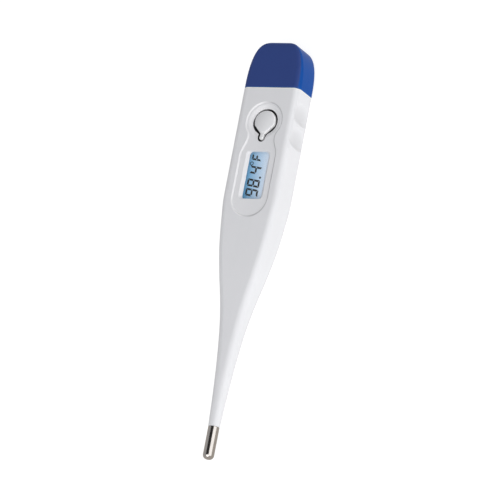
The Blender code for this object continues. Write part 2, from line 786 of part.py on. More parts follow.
def build_cell():
    low_z = CUP_ZS[0] + CUP_FLOOR + 0.25 * MM
    high_z = low_z + CELL_HEIGHT
    radius, lid, chamfer = CELL_RADIUS, 3.05 * MM, 0.25 * MM
    turned(
        "button_cell",
        [
            (0.0, high_z), (radius - chamfer, high_z), (radius, high_z - chamfer),
            (radius, low_z + 0.6 * MM), (radius - 0.35 * MM, low_z + 0.3 * MM),
            (lid, low_z + 0.3 * MM), (lid - 0.15 * MM, low_z), (0.0, low_z),
        ],
        (0.0, CELL_Y, 0.0), STEEL, steps=32,
    )
    sheet = 0.14 * MM
    top = high_z + 0.03 * MM + sheet / 2
    foot = 6.6 * MM + 0.03 * MM + sheet / 2
    plus = bent_strip(
        "contact_plus",
        [
            (SCREW_Y - 1.3 * MM, foot), (48.1 * MM, foot), (48.7 * MM, top + 0.08 * MM),
            (CELL_Y - 1.0 * MM, top + 0.08 * MM), (CELL_Y, top), (CELL_Y + 1.6 * MM, top + 0.08 * MM),
        ],
        0.0, 2.9 * MM, sheet, SPRING_STEEL,
    )
    cut(plus, upright("plus_hole_cutter", (0.0, SCREW_Y), 0.75 * MM, 6.0 * MM, 7.5 * MM, segments=16))
    floor = CUP_ZS[0] + CUP_FLOOR + 0.04 * MM + sheet / 2
    solder = BOARD_BOTTOM_Z - GAP - sheet / 2
    bent_strip(
        "contact_minus",
        [
            (47.7 * MM, solder), (48.3 * MM, solder), (49.3 * MM, floor),
            (CELL_Y + 1.5 * MM, floor),
        ],
        0.0, 2.4 * MM, sheet, SPRING_STEEL,
    )


# The battery cap


def cap_half_width(y):
    """A superellipse in plan: full width at the mouth, round towards the end."""
    t = min(max((y - MOUTH_Y) / CAP_LENGTH, 0.0), 1.0)
    return HALF_WIDTH * (1 - t**2.3) ** 0.29


def cap_half_depth(y):
    t = min(max((y - MOUTH_Y) / CAP_LENGTH, 0.0), 1.0)
    return HALF_DEPTH * (1 - t**14) ** 0.28


def build_cap():
    last, steps = 0.985, 10
    outer = []
    for i in range(steps + 1):
        t = last * math.sin(math.pi / 2 * i / steps)
        y = MOUTH_Y + CAP_LENGTH * t + GAP * (1 - t)
        edge = EDGE_RADIUS - CAP_EDGE_CRISPER * t**1.5
        outer.append(section(y, cap_half_width(y), cap_half_depth(y), edge))
    outer.append([(x * 0.8, CAP_END_Y, MIDDLE_Z + (z - MIDDLE_Z) * 0.8) for x, _, z in outer[-1]])
    cap = loft("battery_cap", outer, BLUE_PLASTIC)

    half_x, half_z = COLLAR_HALF
    collar_rows = [
        (MOUTH_Y - COLLAR_DEPTH, 0.0), (GROOVE_Y[0], 0.0), (GROOVE_Y[0], GROOVE_DEPTH),
        (GROOVE_Y[1], GROOVE_DEPTH), (GROOVE_Y[1], 0.0), (MOUTH_Y + 1.0 * MM, 0.0),
    ]
    corner = 0.75 * MM
    collar = loft(
        "cap_collar",
        [section(y, half_x - inset, half_z - inset, corner, 3) for y, inset in collar_rows],
    )
    join(cap, collar)

    wall = 1.3 * MM
    inner_x, inner_z = half_x - COLLAR_WALL, half_z - COLLAR_WALL
    cavity_end = CAP_END_Y - 1.45 * MM
    rows = [section(MOUTH_Y - COLLAR_DEPTH - 1 * MM, inner_x, inner_z, corner, 3)]
    for i in range(6):
        y = blend(MOUTH_Y + 4 * MM, cavity_end, i / 5)
        beyond = y + 1.2 * MM
        rows.append(
            section(
                y,
                min(inner_x, cap_half_width(beyond) - wall / 2),
                min(inner_z, cap_half_depth(beyond)),
                corner, 3,
            )
        )
    cut(cap, loft("cap_cavity", rows))

    seal_x = half_x - GROOVE_DEPTH + SEAL_RADIUS + GAP
    seal_z = half_z - GROOVE_DEPTH + SEAL_RADIUS + GAP
    middle = (GROOVE_Y[0] + GROOVE_Y[1]) / 2
    wire("cap_seal", section(middle, seal_x, seal_z, 0.6 * MM, 3), SEAL_RADIUS, RUBBER, True)


build_case()
build_probe()
build_key()
build_display()
build_frame()
build_board()
build_buzzer()
build_cell()
build_cap()
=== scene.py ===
"""A pen-shaped digital thermometer: its fine surfaces, finishes and studio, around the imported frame.

Everything is in metres, in the frame's own axes: +Y runs from the probe tip to the battery cap,
+Z points out of the display, and the back lies on Z = 0.
"""

import math

import bmesh
import bpy
from bpy.props import FloatProperty, FloatVectorProperty, IntProperty, PointerProperty
from mathutils import Matrix, Vector


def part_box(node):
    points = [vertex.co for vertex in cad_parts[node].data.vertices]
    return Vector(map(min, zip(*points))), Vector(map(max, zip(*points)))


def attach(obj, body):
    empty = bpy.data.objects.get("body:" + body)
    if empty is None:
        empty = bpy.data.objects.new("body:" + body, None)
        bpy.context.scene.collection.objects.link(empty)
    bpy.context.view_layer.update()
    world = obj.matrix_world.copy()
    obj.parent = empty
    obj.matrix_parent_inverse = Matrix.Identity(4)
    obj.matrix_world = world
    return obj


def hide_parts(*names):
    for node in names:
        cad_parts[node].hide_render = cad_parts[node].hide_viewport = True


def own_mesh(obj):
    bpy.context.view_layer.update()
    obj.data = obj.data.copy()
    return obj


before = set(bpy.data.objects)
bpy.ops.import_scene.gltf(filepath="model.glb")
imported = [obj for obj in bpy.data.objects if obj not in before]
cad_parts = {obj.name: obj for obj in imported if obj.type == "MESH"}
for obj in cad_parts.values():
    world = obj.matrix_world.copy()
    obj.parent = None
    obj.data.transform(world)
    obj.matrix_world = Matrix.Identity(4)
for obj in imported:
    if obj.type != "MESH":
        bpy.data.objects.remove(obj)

bl_info = {
    "name": "Digital thermometer",
    "version": (1, 0, 0),
    "blender": (4, 5, 0),
    "location": "View3D > Sidebar > Thermometer",
    "description": "Builds the moulded case, cap, key, probe and display of a digital thermometer",
    "category": "Object",
}

MM = 0.001
SHARP_DEGREES = 32
# Rings along the case's straight part are close, so that the scoops cut only small faces
STRAIGHT_STEPS, TAPER_STEPS = 18, 8
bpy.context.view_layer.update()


def node_box(name):
    return [Vector(corner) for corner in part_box(name)]


# Places that the frame sets
CASE_LOW, CASE_HIGH = node_box("case_shell")
TIP_LOW, TIP_HIGH = node_box("probe_tip")
CAP_LOW, CAP_HIGH = node_box("battery_cap")
KEY_LOW, KEY_HIGH = node_box("power_key")
LENS_LOW, LENS_HIGH = node_box("display_lens")
FILM_LOW, FILM_HIGH = node_box("lcd_polariser")
DOME_LOW, DOME_HIGH = node_box("snap_dome")
CELL_LOW, CELL_HIGH = node_box("button_cell")

MIDDLE_Z = (CASE_LOW.z + CASE_HIGH.z) / 2
FRONT_Z = CASE_HIGH.z
HALF_WIDTH = CASE_HIGH.x
HALF_DEPTH = MIDDLE_Z - CASE_LOW.z
MOUTH_Y = CASE_HIGH.y
STEM_END_Y = TIP_HIGH.y + 0.05 * MM
SPIGOT_END_Y = CASE_LOW.y
KEY_Y = (DOME_LOW.y + DOME_HIGH.y) / 2
WINDOW_Y = (LENS_LOW.y + LENS_HIGH.y) / 2
CELL_Y = (CELL_LOW.y + CELL_HIGH.y) / 2

# The case's half width, half depth and edge radius, at places along its length
CASE_STATIONS = [
    (MOUTH_Y, HALF_WIDTH, HALF_DEPTH, 2.0 * MM),
    (16.0 * MM, HALF_WIDTH, HALF_DEPTH, 2.0 * MM),
    *(
        tuple(value * MM for value in station)
        for station in (
            (8.0, 8.78, 4.85, 2.0), (0.0, 7.95, 4.5, 2.1), (-8.0, 6.58, 4.05, 2.2),
            (-16.0, 5.0, 3.45, 2.3), (-24.0, 3.83, 2.9, 2.4), (-34.0, 2.85, 2.5, 2.35),
            (-44.0, 2.16, 2.09, 2.04),
        )
    ),
    (STEM_END_Y, 1.68 * MM, 1.68 * MM, 1.67 * MM),
]


# What a user would change


def length_property(name, description, default, low, high):
    """A length in the scene's unit, from values in millimetres."""
    return FloatProperty(
        name=name, description=description, default=default * MM, min=low * MM, max=high * MM,
        unit="LENGTH",
    )


class ThermometerSizes(bpy.types.PropertyGroup):
    """Sizes of the visible mouldings, and how finely they are made."""

    side_wall: length_property("Side wall", "Thickness of the case's side walls", 1.2, 0.8, 1.6)
    face_wall: length_property("Face wall", "Thickness of the case's front and back", 1.3, 1.0, 1.6)
    panel_depth: length_property("Panel depth", "How far the panel is sunk", 0.35, 0.1, 0.4)
    key_gap: length_property("Key gap", "Width of the gap around the key", 0.57, 0.2, 0.8)
    grip_depth: length_property("Grip depth", "Depth of the finger scoops", 0.65, 0.1, 0.8)
    digit_height: length_property("Digit height", "Height of the figures", 4.2, 3.0, 5.0)
    ring_steps: IntProperty(
        name="Edge steps", description="Steps around each rounded edge", default=10, min=4, max=24,
    )
    turn_steps: IntProperty(
        name="Turned steps", description="Steps around each turned piece", default=96, min=24, max=160,
    )


def colour_property(name, description, default):
    return FloatVectorProperty(
        name=name, description=description, default=default, size=3, min=0.0, max=1.0,
        subtype="COLOR",
    )


class ThermometerColours(bpy.types.PropertyGroup):
    """Linear colours of the finishes."""

    case: colour_property("Case", "White of the moulded case", (0.79, 0.795, 0.815))
    key: colour_property("Key", "White of the key", (0.77, 0.775, 0.79))
    cap: colour_property("Cap", "Blue of the battery cap", (0.002, 0.072, 0.345))
    # Painted shade: the cap's front and back get this duller, darker blue, as they face away from the
    # light
    cap_shaded_face: colour_property(
        "Cap faces", "Duller blue of the cap's etched front and back", (0.034, 0.064, 0.232)
    )
    steel: colour_property("Steel", "Tone of the probe tip", (0.62, 0.585, 0.55))
    # The film's deeper blue on the left and paler blue on the right are painted light, as it falls
    # from the right
    film_dark: colour_property("Film, left", "Blue at the left of the display", (0.10, 0.33, 0.56))
    film_light: colour_property("Film, right", "Blue at its right", (0.67, 0.77, 0.89))
    ink: colour_property("Figures", "Colour of the dark segments", (0.004, 0.003, 0.003))
    floor: colour_property("Floor", "Pale floor under the thermometer", (0.30, 0.30, 0.302))


# Building blocks


def arc(centre, radius, start, end, steps):
    angles = [math.radians(start + (end - start) * i / steps) for i in range(steps + 1)]
    return [(centre[0] + radius * math.cos(a), centre[1] + radius * math.sin(a)) for a in angles]


def rounded_box(half_x, half_y, radius, steps, centre=(0.0, 0.0)):
    """Points around a rectangle with round corners, anticlockwise."""
    radius = min(radius, half_x - 0.01 * MM, half_y - 0.01 * MM)
    points = []
    for corner, (sx, sy) in enumerate(((1, 1), (-1, 1), (-1, -1), (1, -1))):
        middle = (centre[0] + sx * (half_x - radius), centre[1] + sy * (half_y - radius))
        points += arc(middle, radius, 90 * corner, 90 * corner + 90, steps)
    return points


def section(y, half_width, half_depth, radius, steps):
    """A ring across the length, around the middle plane."""
    outline = rounded_box(half_width, half_depth, radius, steps)
    return [Vector((x, y, MIDDLE_Z + z)) for x, z in outline]


def widened(outline, distance):
    """The outline moved outwards along its own normals."""
    count = len(outline)
    moved = []
    for i, (x, y) in enumerate(outline):
        before, after = Vector(outline[i - 1]), Vector(outline[(i + 1) % count])
        here = Vector((x, y))
        back, ahead = (here - before).normalized(), (after - here).normalized()
        along = (back + ahead).normalized()
        stretch = 1 / max(along.dot(ahead), 0.5)
        moved.append((x + along.y * distance * stretch, y - along.x * distance * stretch))
    return moved


def flat(outline, z):
    return [Vector((x, y, z)) for x, y in outline]


def stack_rings(rings, closed=False):
    """Extrudes the first ring through the others, and closes the ends or joins them."""
    bm = bmesh.new()
    place = bm.verts.layers.int.new("place")
    first = [bm.verts.new(point) for point in rings[0]]
    for i, vert in enumerate(first):
        vert[place] = i
    edges = [bm.edges.new(pair) for pair in zip(first, first[1:] + first[:1])]
    if not closed:
        bmesh.ops.contextual_create(bm, geom=edges)
    for ring in rings[1:]:
        made = bmesh.ops.extrude_edge_only(bm, edges=edges)["geom"]
        verts = {item for item in made if isinstance(item, bmesh.types.BMVert)}
        edges = [item for item in made if isinstance(item, bmesh.types.BMEdge)]
        edges = [edge for edge in edges if verts.issuperset(edge.verts)]
        for vert in verts:
            vert.co = ring[vert[place]]
    if not closed:
        bmesh.ops.contextual_create(bm, geom=edges)
    return bm


def turn(profile, centre, steps, axis=(0, 0, 1), bm=None):
    """Turns a profile of (radius, height) points about an axis through centre."""
    bm = bmesh.new() if bm is None else bm
    axis, side = Vector(axis), Vector((1, 0, 0))
    verts = [bm.verts.new(Vector(centre) + side * r + axis * h) for r, h in profile]
    edges = [bm.edges.new(pair) for pair in zip(verts, verts[1:])]
    bmesh.ops.spin(
        bm, geom=verts + edges, cent=centre, axis=axis, angle=2 * math.pi, steps=steps,
        use_merge=True, use_duplicate=False,
    )
    return bm


def block(low, high):
    bm = bmesh.new()
    bmesh.ops.create_cube(bm, size=1.0)
    bmesh.ops.scale(bm, vec=high - low, verts=bm.verts)
    bmesh.ops.translate(bm, vec=(low + high) / 2, verts=bm.verts)
    return bm


def linked(name, data):
    obj = bpy.data.objects.new(name, data)
    bpy.context.scene.collection.objects.link(obj)
    return obj


def object_from(bm, name):
    mesh = bpy.data.meshes.new(name)
    bmesh.ops.remove_doubles(bm, verts=bm.verts, dist=0.0005 * MM)
    bmesh.ops.recalc_face_normals(bm, faces=bm.faces)
    bm.to_mesh(mesh)
    bm.free()
    return linked(name, mesh)


def combine(obj, tools, operation):
    """Cuts the tools from obj, or joins them to it, and removes them."""
    for tool in tools:
        modifier = obj.modifiers.new("combine", "BOOLEAN")
        modifier.operation = operation
        modifier.object = tool
        modifier.solver = "MANIFOLD"
    graph = bpy.context.evaluated_depsgraph_get()
    mesh = bpy.data.meshes.new_from_object(obj.evaluated_get(graph))
    obj.modifiers.clear()
    obj.data = mesh
    for tool in tools:
        bpy.data.objects.remove(tool)
    bm = bmesh.new()
    bm.from_mesh(mesh)
    bmesh.ops.remove_doubles(bm, verts=bm.verts, dist=0.002 * MM)
    bmesh.ops.dissolve_degenerate(bm, edges=bm.edges, dist=0.002 * MM)
    bm.to_mesh(mesh)
    bm.free()
    return obj


def finish_piece(obj, body, replaced, material):
    """Smooth shading with crisp edges, a finish, and the body that the piece rides on."""
    mesh = obj.data
    mesh.materials.clear()
    mesh.materials.append(material)
    mesh.shade_smooth()
    mesh.set_sharp_from_angle(angle=math.radians(SHARP_DEGREES))
    even = obj.modifiers.new("even_shading", "WEIGHTED_NORMAL")
    even.keep_sharp = True
    even.weight = 80
    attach(obj, body)
    if replaced:
        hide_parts(*replaced)
    return obj


def smooth_stations(stations):
    """More stations on a smooth curve through the given ones, flat at the first span."""
    rows = []
    for i in range(len(stations) - 1):
        before = stations[max(i - 1, 0)]
        here, after = stations[i], stations[i + 1]
        beyond = stations[min(i + 2, len(stations) - 1)]
        span = after[0] - here[0]
        steps = STRAIGHT_STEPS if i == 0 else TAPER_STEPS
        for step in range(steps):
            t = step / steps
            row = [here[0] + span * t]
            for k in range(1, len(here)):
                slope_in = (after[k] - before[k]) / (after[0] - before[0]) * span * (i > 1)
                slope_out = (beyond[k] - here[k]) / (beyond[0] - here[0]) * span * (i > 0)
                row.append(
                    here[k] * (2 * t**3 - 3 * t**2 + 1)
                    + slope_in * (t**3 - 2 * t**2 + t)
                    + after[k] * (3 * t**2 - 2 * t**3)
                    + slope_out * (t**3 - t**2)
                )
            rows.append(tuple(row))
    return rows + [tuple(stations[-1])]


# Outlines on the front face


def eased(a, b, share):
    return a + (b - a) * (1 - math.cos(math.pi * share)) / 2


PANEL_RADIUS = 5.7 * MM
PANEL_NECK_HALF = 4.15 * MM
PANEL_NECK_FILLET = 3.14 * MM
PANEL_NECK_Y = KEY_Y - 5.0 * MM
PANEL_LOBE_TOP_Y = KEY_Y - 10.8 * MM
PANEL_LOBE_END_Y = KEY_Y - 23.6 * MM


def panel_outline():
    """The figure of eight: a round head about the key, a neck, and a lobe about the window."""
    fillet_x = PANEL_NECK_HALF + PANEL_NECK_FILLET
    meeting = math.degrees(math.atan2(KEY_Y - PANEL_NECK_Y, fillet_x))
    head = arc((0.0, KEY_Y), PANEL_RADIUS, -meeting, 90, 40)
    to_neck = arc((fillet_x, PANEL_NECK_Y), PANEL_NECK_FILLET, 180, 180 - meeting, 12)[:-1]
    steps = 14
    climb = (PANEL_NECK_Y - PANEL_LOBE_TOP_Y) / steps
    to_lobe = [
        (eased(PANEL_RADIUS, PANEL_NECK_HALF, i / steps), PANEL_LOBE_TOP_Y + climb * i)
        for i in range(1, steps)
    ]
    foot = arc((0.0, PANEL_LOBE_END_Y), PANEL_RADIUS, -90, 0, 32)
    right = foot + [(PANEL_RADIUS, PANEL_LOBE_TOP_Y)] + to_lobe + to_neck + head
    left = [(-x, y) for x, y in reversed(right[1:-1])]
    return right + left


KEY_HOLE_RADIUS = 3.95 * MM
KEY_SLOT_HALF = 1.22 * MM
KEY_NECK_DROP = 4.12 * MM
KEY_SLOT_DROP = 6.4 * MM


def keyhole_outline():
    """A circle that runs straight into a short round-ended slot towards the display."""
    head = arc((0.0, KEY_Y), KEY_HOLE_RADIUS, -24, 204, 64)
    tail_middle = (0.0, KEY_Y - KEY_SLOT_DROP + KEY_SLOT_HALF)
    neck = (-KEY_SLOT_HALF, KEY_Y - KEY_NECK_DROP)
    tail = arc(tail_middle, KEY_SLOT_HALF, 180, 360, 12)
    return head + [neck] + tail + [(KEY_SLOT_HALF, KEY_Y - KEY_NECK_DROP)]


# Finishes


class Socket:
    """An output socket, with arithmetic that adds Math nodes."""

    def __init__(self, finish, link):
        self.finish = finish
        self.link = link

    def math(self, operation, first, second=0.0):
        return self.finish.node("ShaderNodeMath", {"operation": operation}, {0: first, 1: second})

    def __add__(self, other):
        return self.math("ADD", self, other)

    __radd__ = __add__

    def __sub__(self, other):
        return self.math("SUBTRACT", self, other)

    def __rsub__(self, other):
        return self.math("SUBTRACT", other, self)

    def __mul__(self, other):
        return self.math("MULTIPLY", self, other)

    def __truediv__(self, other):
        return self.math("DIVIDE", self, other)

    def above(self, level):
        return self.math("GREATER_THAN", self, level)

    def below(self, level):
        return self.math("LESS_THAN", self, level)

    def size(self):
        return self.math("ABSOLUTE", self)

    def wave(self):
        return self.math("SINE", self)

    def held(self):
        return self.math("MINIMUM", self.math("MAXIMUM", self, 0.0), 1.0)

    def rise(self, start, width):
        """0 up to start, and 1 a width beyond it."""
        return ((self - start) / width).held()

    def fall(self, start, width):
        """1 up to start, and 0 a width beyond it."""
        return 1 - self.rise(start, width)

    def apart(self, other):
        """The distance that has this and other as its two legs."""
        return self.math("SQRT", self * self + other * other)


def scaled(colour, factor):
    return tuple(min(channel * factor, 1.0) for channel in tuple(colour)[:3])


class Finish:
    """A material under construction, around one Principled shader."""

    def __init__(self, name, **constants):
        self.material = bpy.data.materials.new(name)
        self.material.use_nodes = True
        self.tree = self.material.node_tree
        self.shader = self.tree.nodes["Principled BSDF"]
        for socket, value in constants.items():
            self.shader.inputs[socket.replace("_", " ")].default_value = value

    def node(self, kind, settings=None, inputs=None, output=0):
        made = self.tree.nodes.new(kind)
        for name, value in (settings or {}).items():
            setattr(made, name, value)
        for name, value in (inputs or {}).items():
            self.feed(made.inputs[name], value)
        return Socket(self, made.outputs[output])

    def feed(self, socket, value):
        if isinstance(value, Socket):
            self.tree.links.new(value.link, socket)
        elif socket.type == "RGBA":
            socket.default_value = (*tuple(value)[:3], 1.0)
        else:
            socket.default_value = value

    def set(self, **inputs):
        for name, value in inputs.items():
            self.feed(self.shader.inputs[name.replace("_", " ")], value)
        return self

    def place(self):
        """Where a point is on the object, in metres, or the direction seen in a surround."""
        return self.node("ShaderNodeTexCoord", output=3)

    def axes(self):
        split = self.tree.nodes.new("ShaderNodeSeparateXYZ")
        self.feed(split.inputs[0], self.place())
        return [Socket(self, socket) for socket in split.outputs]

    def stretched(self, x, y, z):
        inputs = {0: self.place(), 1: (x, y, z)}
        return self.node("ShaderNodeVectorMath", {"operation": "MULTIPLY"}, inputs)

    def noise(self, scale, detail=2.0, roughness=0.5, where=None):
        inputs = {"Scale": scale, "Detail": detail, "Roughness": roughness}
        return self.node("ShaderNodeTexNoise", None, {"Vector": where or self.place(), **inputs})

    def streaks(self, x, y, z, detail=2.0):
        return self.noise(1.0, detail, where=self.stretched(x, y, z))

    def cells(self, scale, where=None):
        inputs = {"Vector": where or self.place(), "Scale": scale}
        return self.node("ShaderNodeTexVoronoi", None, inputs)

    def blend(self, share, first, second):
        return self.node("ShaderNodeMix", {"data_type": "RGBA"}, {0: share, 6: first, 7: second}, 2)

    def shades(self, share, colour, darker, lighter):
        return self.blend(share, scaled(colour, darker), scaled(colour, lighter))

    def done(self, colour, roughness, height, distance, **others):
        """Feeds what varies into the shader, and gives the material."""
        self.set(Base_Color=colour, Roughness=roughness, **others)
        inputs = {"Height": height, "Distance": distance, "Strength": 1.0}
        return self.set(Normal=self.node("ShaderNodeBump", None, inputs)).material


class Surround(Finish):
    """The studio's light: warm grey below, cooler grey above, and a black card overhead."""

    def __init__(self, name):
        self.world = bpy.data.worlds.new(name)
        self.world.use_nodes = True
        self.tree = self.world.node_tree
        self.shader = self.tree.nodes["Background"]
        x, y, z = self.axes()
        card = (x + 0.02).size().fall(0.42, 0.1) * (y - 0.28).size().fall(0.25, 0.1)
        sky = self.blend(z.rise(-0.0625, 0.125), (0.53, 0.50, 0.47), (0.46, 0.46, 0.47))
        self.set(Color=self.blend(card * z.rise(0.0, 0.2), sky, (0.02, 0.02, 0.02)))


# Near-black painted shade for the depth of the gaps around the key
PAINTED_GAP_SHADE = (0.008, 0.008, 0.009)
EPOXY_DARK = (0.006, 0.006, 0.008)


def moulded(f, colour):
    """A colour with faint clouding from the flow, the clouding, and spark-eroded grain."""
    clouds, grit = f.noise(160.0, 3.0), f.noise(5200.0)
    flow = f.streaks(900.0, 60.0, 900.0)
    return f.shades(clouds * 0.6 + flow * 0.3, colour, 0.965, 1.02), clouds, grit


def frame_moulding(colour):
    f = Finish("frame_moulding", IOR=1.5)
    tone, clouds, grit = moulded(f, colour)
    return f.done(tone, 0.46 + clouds * 0.06 + grit * 0.04, grit, 0.004 * MM)


def case_finish(colour, panel_floor):
    """The case's moulding, with painted light and shade: painted shade down in the gap around the key
    and in the finger scoops, a painted highlight along the rim at the mouth, and the sunk panel's wall
    and dish painted lighter on the left, its wall darker on the right.
    """
    f = Finish("white_case_moulding", IOR=1.5)
    white, clouds, grit = moulded(f, colour)
    x, y, z = f.axes()
    wide, lift = x.size(), z - panel_floor
    # Painted shade: down in the hole around the key, except its cap-side left part, and down in the
    # slot, the case is coloured near-black
    in_hole = x.apart(y - KEY_Y).fall(KEY_HOLE_RADIUS + 0.08 * MM, 0.06 * MM)
    in_hole = in_hole * (x * 0.8 - y).rise(-KEY_Y - 4.2 * MM, 1.6 * MM)
    in_slot = wide.fall(1.3 * MM, 0.05 * MM) * y.fall(KEY_Y - 3.5 * MM, 0.1 * MM)
    in_slot = in_slot * y.rise(KEY_Y - 6.6 * MM, 0.1 * MM)
    gap = in_hole * lift.fall(-0.62 * MM, 0.1 * MM) + in_slot * lift.fall(-0.12 * MM, 0.1 * MM)
    # Painted highlight: a pale cream band along the rim at the mouth, where the edge catches the light
    rim = y.rise(MOUTH_Y - 0.42 * MM, 0.25 * MM)
    # Painted shade: the finger scoops are coloured darker than the rest of the sides
    sides = (z - MIDDLE_Z).size().fall(4.1 * MM, 0.3 * MM) * wide.rise(8.2 * MM, 0.1 * MM)
    scoops = sides * wide.fall(HALF_WIDTH - 0.73 * MM, 0.7 * MM) * y.rise(KEY_Y - 8.0 * MM, 0.2 * MM)
    # Painted light and shade on the sunk panel: its wall is coloured lighter on the left and darker on
    # the right, and its dish lighter on the left, as the light falls from the right
    rightward = x.rise(-2.0 * MM, 4.0 * MM)
    inside = x.apart((PANEL_LOBE_END_Y - y).held()).fall(PANEL_RADIUS + 0.48 * MM, 0.05 * MM)
    wall = lift.rise(0.02 * MM, 0.03 * MM) * z.fall(FRONT_Z - 0.06 * MM, 0.06 * MM)
    dished = lift.fall(-0.03 * MM, 0.05 * MM)
    white = f.blend(scoops, f.blend(rim, white, (0.97, 0.95, 0.89)), scaled(colour, 0.84))
    walls = f.blend(rightward, (0.87, 0.87, 0.885), scaled(colour, 0.7))
    dish = f.blend(rightward, (0.86, 0.86, 0.875), scaled(colour, 1.02))
    white = f.blend(inside * wall, f.blend(inside * dished, white, dish), walls)
    # Painted shade in the gap around the key
    base = f.blend(gap.held(), white, PAINTED_GAP_SHADE)
    return f.done(base, 0.32 + clouds * 0.06 + grit * 0.04, grit, 0.002 * MM)


def cap_finish(side, face):
    """The cap's moulding: polished round its sides, and rougher with a fine etching on its front and
    back, which are painted a duller, darker blue as shade; a paler blue painted highlight runs along
    its lip at the mouth.
    """
    f = Finish("blue_cap_moulding", Specular_IOR_Level=0.13)
    clouds, grit = f.noise(170.0, 3.0), f.noise(5200.0)
    x, y, z = f.axes()
    # Front and back: rougher with a fine etching, and painted a duller, darker blue as shade
    etched_and_shaded = (z - MIDDLE_Z).size().rise(HALF_DEPTH - 0.75 * MM, 0.35 * MM)
    # Painted highlight: a paler blue band along the cap's lip at the mouth, where its small bevel
    # catches the light
    rim = y.fall(MOUTH_Y, 0.3 * MM)
    darker = f.blend(etched_and_shaded, scaled(side, 0.9), scaled(face, 0.9))
    mottled = f.blend(clouds * 0.5, f.blend(etched_and_shaded, side, face), darker)
    return f.done(
        f.blend(rim * 0.5, mottled, (0.06, 0.26, 0.56)),
        0.24 + etched_and_shaded * 0.14 + clouds * 0.06 + grit * 0.04, grit * (etched_and_shaded + 0.3), 0.004 * MM,
    )


def key_finish(colour, painted_shade_below):
    """The key's moulding: satin on its face, painted lighter to the right, with a painted highlight
    along its right rim and painted shade down in the gap.
    """
    f = Finish("key_moulding", IOR=1.5)
    clouds, grit = f.noise(220.0, 3.0), f.noise(6000.0)
    x, y, z = f.axes()
    # Painted highlight: a near-white band along the key's rim on its right, where the rounded edge
    # faces the light
    rim_highlight = x.apart(y - KEY_Y).rise(KEY_HOLE_RADIUS - 1.0 * MM, 0.3 * MM) * x.rise(-1.2 * MM, 2.4 * MM)
    # Painted light: the face is coloured darker on the left and lighter on the right, as the light
    # falls from the right
    face = f.shades(x.rise(-2.8 * MM, 5.6 * MM), colour, 0.94, 1.1)
    face = f.blend(rim_highlight * 0.85, f.blend(clouds * 0.2, face, scaled(colour, 0.9)), (0.98, 0.98, 0.98))
    # Painted shade: below the given level the key is coloured near-black, down in the gap
    base = f.blend(z.rise(painted_shade_below, 0.15 * MM), PAINTED_GAP_SHADE, face)
    return f.done(base, 0.34 + clouds * 0.06 + grit * 0.03, grit, 0.003 * MM)


def drawn_steel(name, colour, roughness=0.16, along=(90.0, 9000.0, 9000.0)):
    """Bright metal with fine draw lines, faint stains and a little rough pitting."""
    f = Finish(name, Metallic=1.0)
    lines, stain = f.streaks(*along, 3.0), f.noise(420.0, 4.0, 0.6)
    rough = roughness - 0.05 + stain * 0.08 + lines * 0.07
    return f.done(f.shades(stain, colour, 0.86, 1.06), rough, lines, 0.0015 * MM)


def sheet_metal(name, colour, roughness):
    """Thin rolled sheet, with rolling lines along Y and handling haze."""
    f = Finish(name, Metallic=1.0)
    rolled, haze = f.streaks(7000.0, 300.0, 7000.0), f.noise(700.0, 3.0)
    rough = roughness + haze * 0.12 + rolled * 0.08
    return f.done(f.shades(haze, colour, 0.8, 1.0), rough, rolled, 0.002 * MM)


def lacquered_wire():
    f = Finish("lacquered_copper", Metallic=0.9, Coat_Weight=0.6, Coat_Roughness=0.1)
    tone = f.noise(1500.0)
    base = f.blend(tone, (0.42, 0.12, 0.035), (0.68, 0.27, 0.10))
    return f.done(base, 0.25 + tone * 0.15, tone, 0.004 * MM)


def black_rubber():
    f = Finish("black_rubber", IOR=1.45)
    dust = f.noise(900.0, 4.0, 0.7)
    base = f.blend(dust, (0.012, 0.012, 0.013), (0.045, 0.044, 0.043))
    return f.done(base, 0.62 + dust * 0.25, f.noise(7000.0), 0.008 * MM)


def foam_tape():
    f = Finish("grey_foam")
    pores = f.cells(9000.0)
    base = f.blend((pores * 1.6).held(), (0.16, 0.16, 0.165), (0.5, 0.5, 0.51))
    return f.done(base, 0.8 + pores * 0.15, pores, 0.02 * MM)


def cast_resin(name, dark, light, roughness):
    f = Finish(name, Coat_Weight=0.3, Coat_Roughness=0.15)
    swirl = f.noise(600.0, 5.0, 0.65)
    dimples = f.noise(2600.0, 3.0)
    return f.done(f.blend(swirl, dark, light), roughness + swirl * 0.12, dimples, 0.012 * MM)


def board_laminate():
    """Green solder mask over glass cloth, with copper tracks and tinned pads showing through."""
    f = Finish("board_laminate", Coat_Weight=0.4, Coat_Roughness=0.12)
    x, y, z = f.axes()
    tracks = (x * 4200.0 + f.noise(120.0, 0.0) * 5.0).wave().rise(0.55, 0.25)
    copper = tracks * f.streaks(300.0, 90.0, 300.0, 0.0).above(0.45)
    weave = (x * 16000.0).wave() * (y * 16000.0).wave() * 0.5 + 0.5
    mask = f.blend(weave, (0.008, 0.085, 0.03), (0.012, 0.115, 0.042))
    pads = f.cells(1.0, f.stretched(900.0, 520.0, 900.0)).below(0.16)
    base = f.blend(pads, f.blend(copper, mask, (0.03, 0.2, 0.07)), (0.7, 0.68, 0.62))
    relief = copper * 0.6 + pads * 0.8 + weave * 0.15
    return f.done(base, 0.3 + weave * 0.08 + pads * 0.1, relief, 0.02 * MM, Metallic=pads)


def chip_finish(name, low, high, body):
    """A small fired chip with a tinned cap at each end."""
    f = Finish(name)
    x, y, z = f.axes()
    middle, half = (low.y + high.y) / 2, (high.y - low.y) / 2
    ends = (y - middle).size().above(half * 0.62)
    grain = f.noise(6000.0, 3.0)
    base = f.blend(ends, f.shades(grain, body, 0.7, 1.0), (0.75, 0.74, 0.72))
    return f.done(base, 0.32 + grain * 0.2, grain, 0.006 * MM, Metallic=ends)


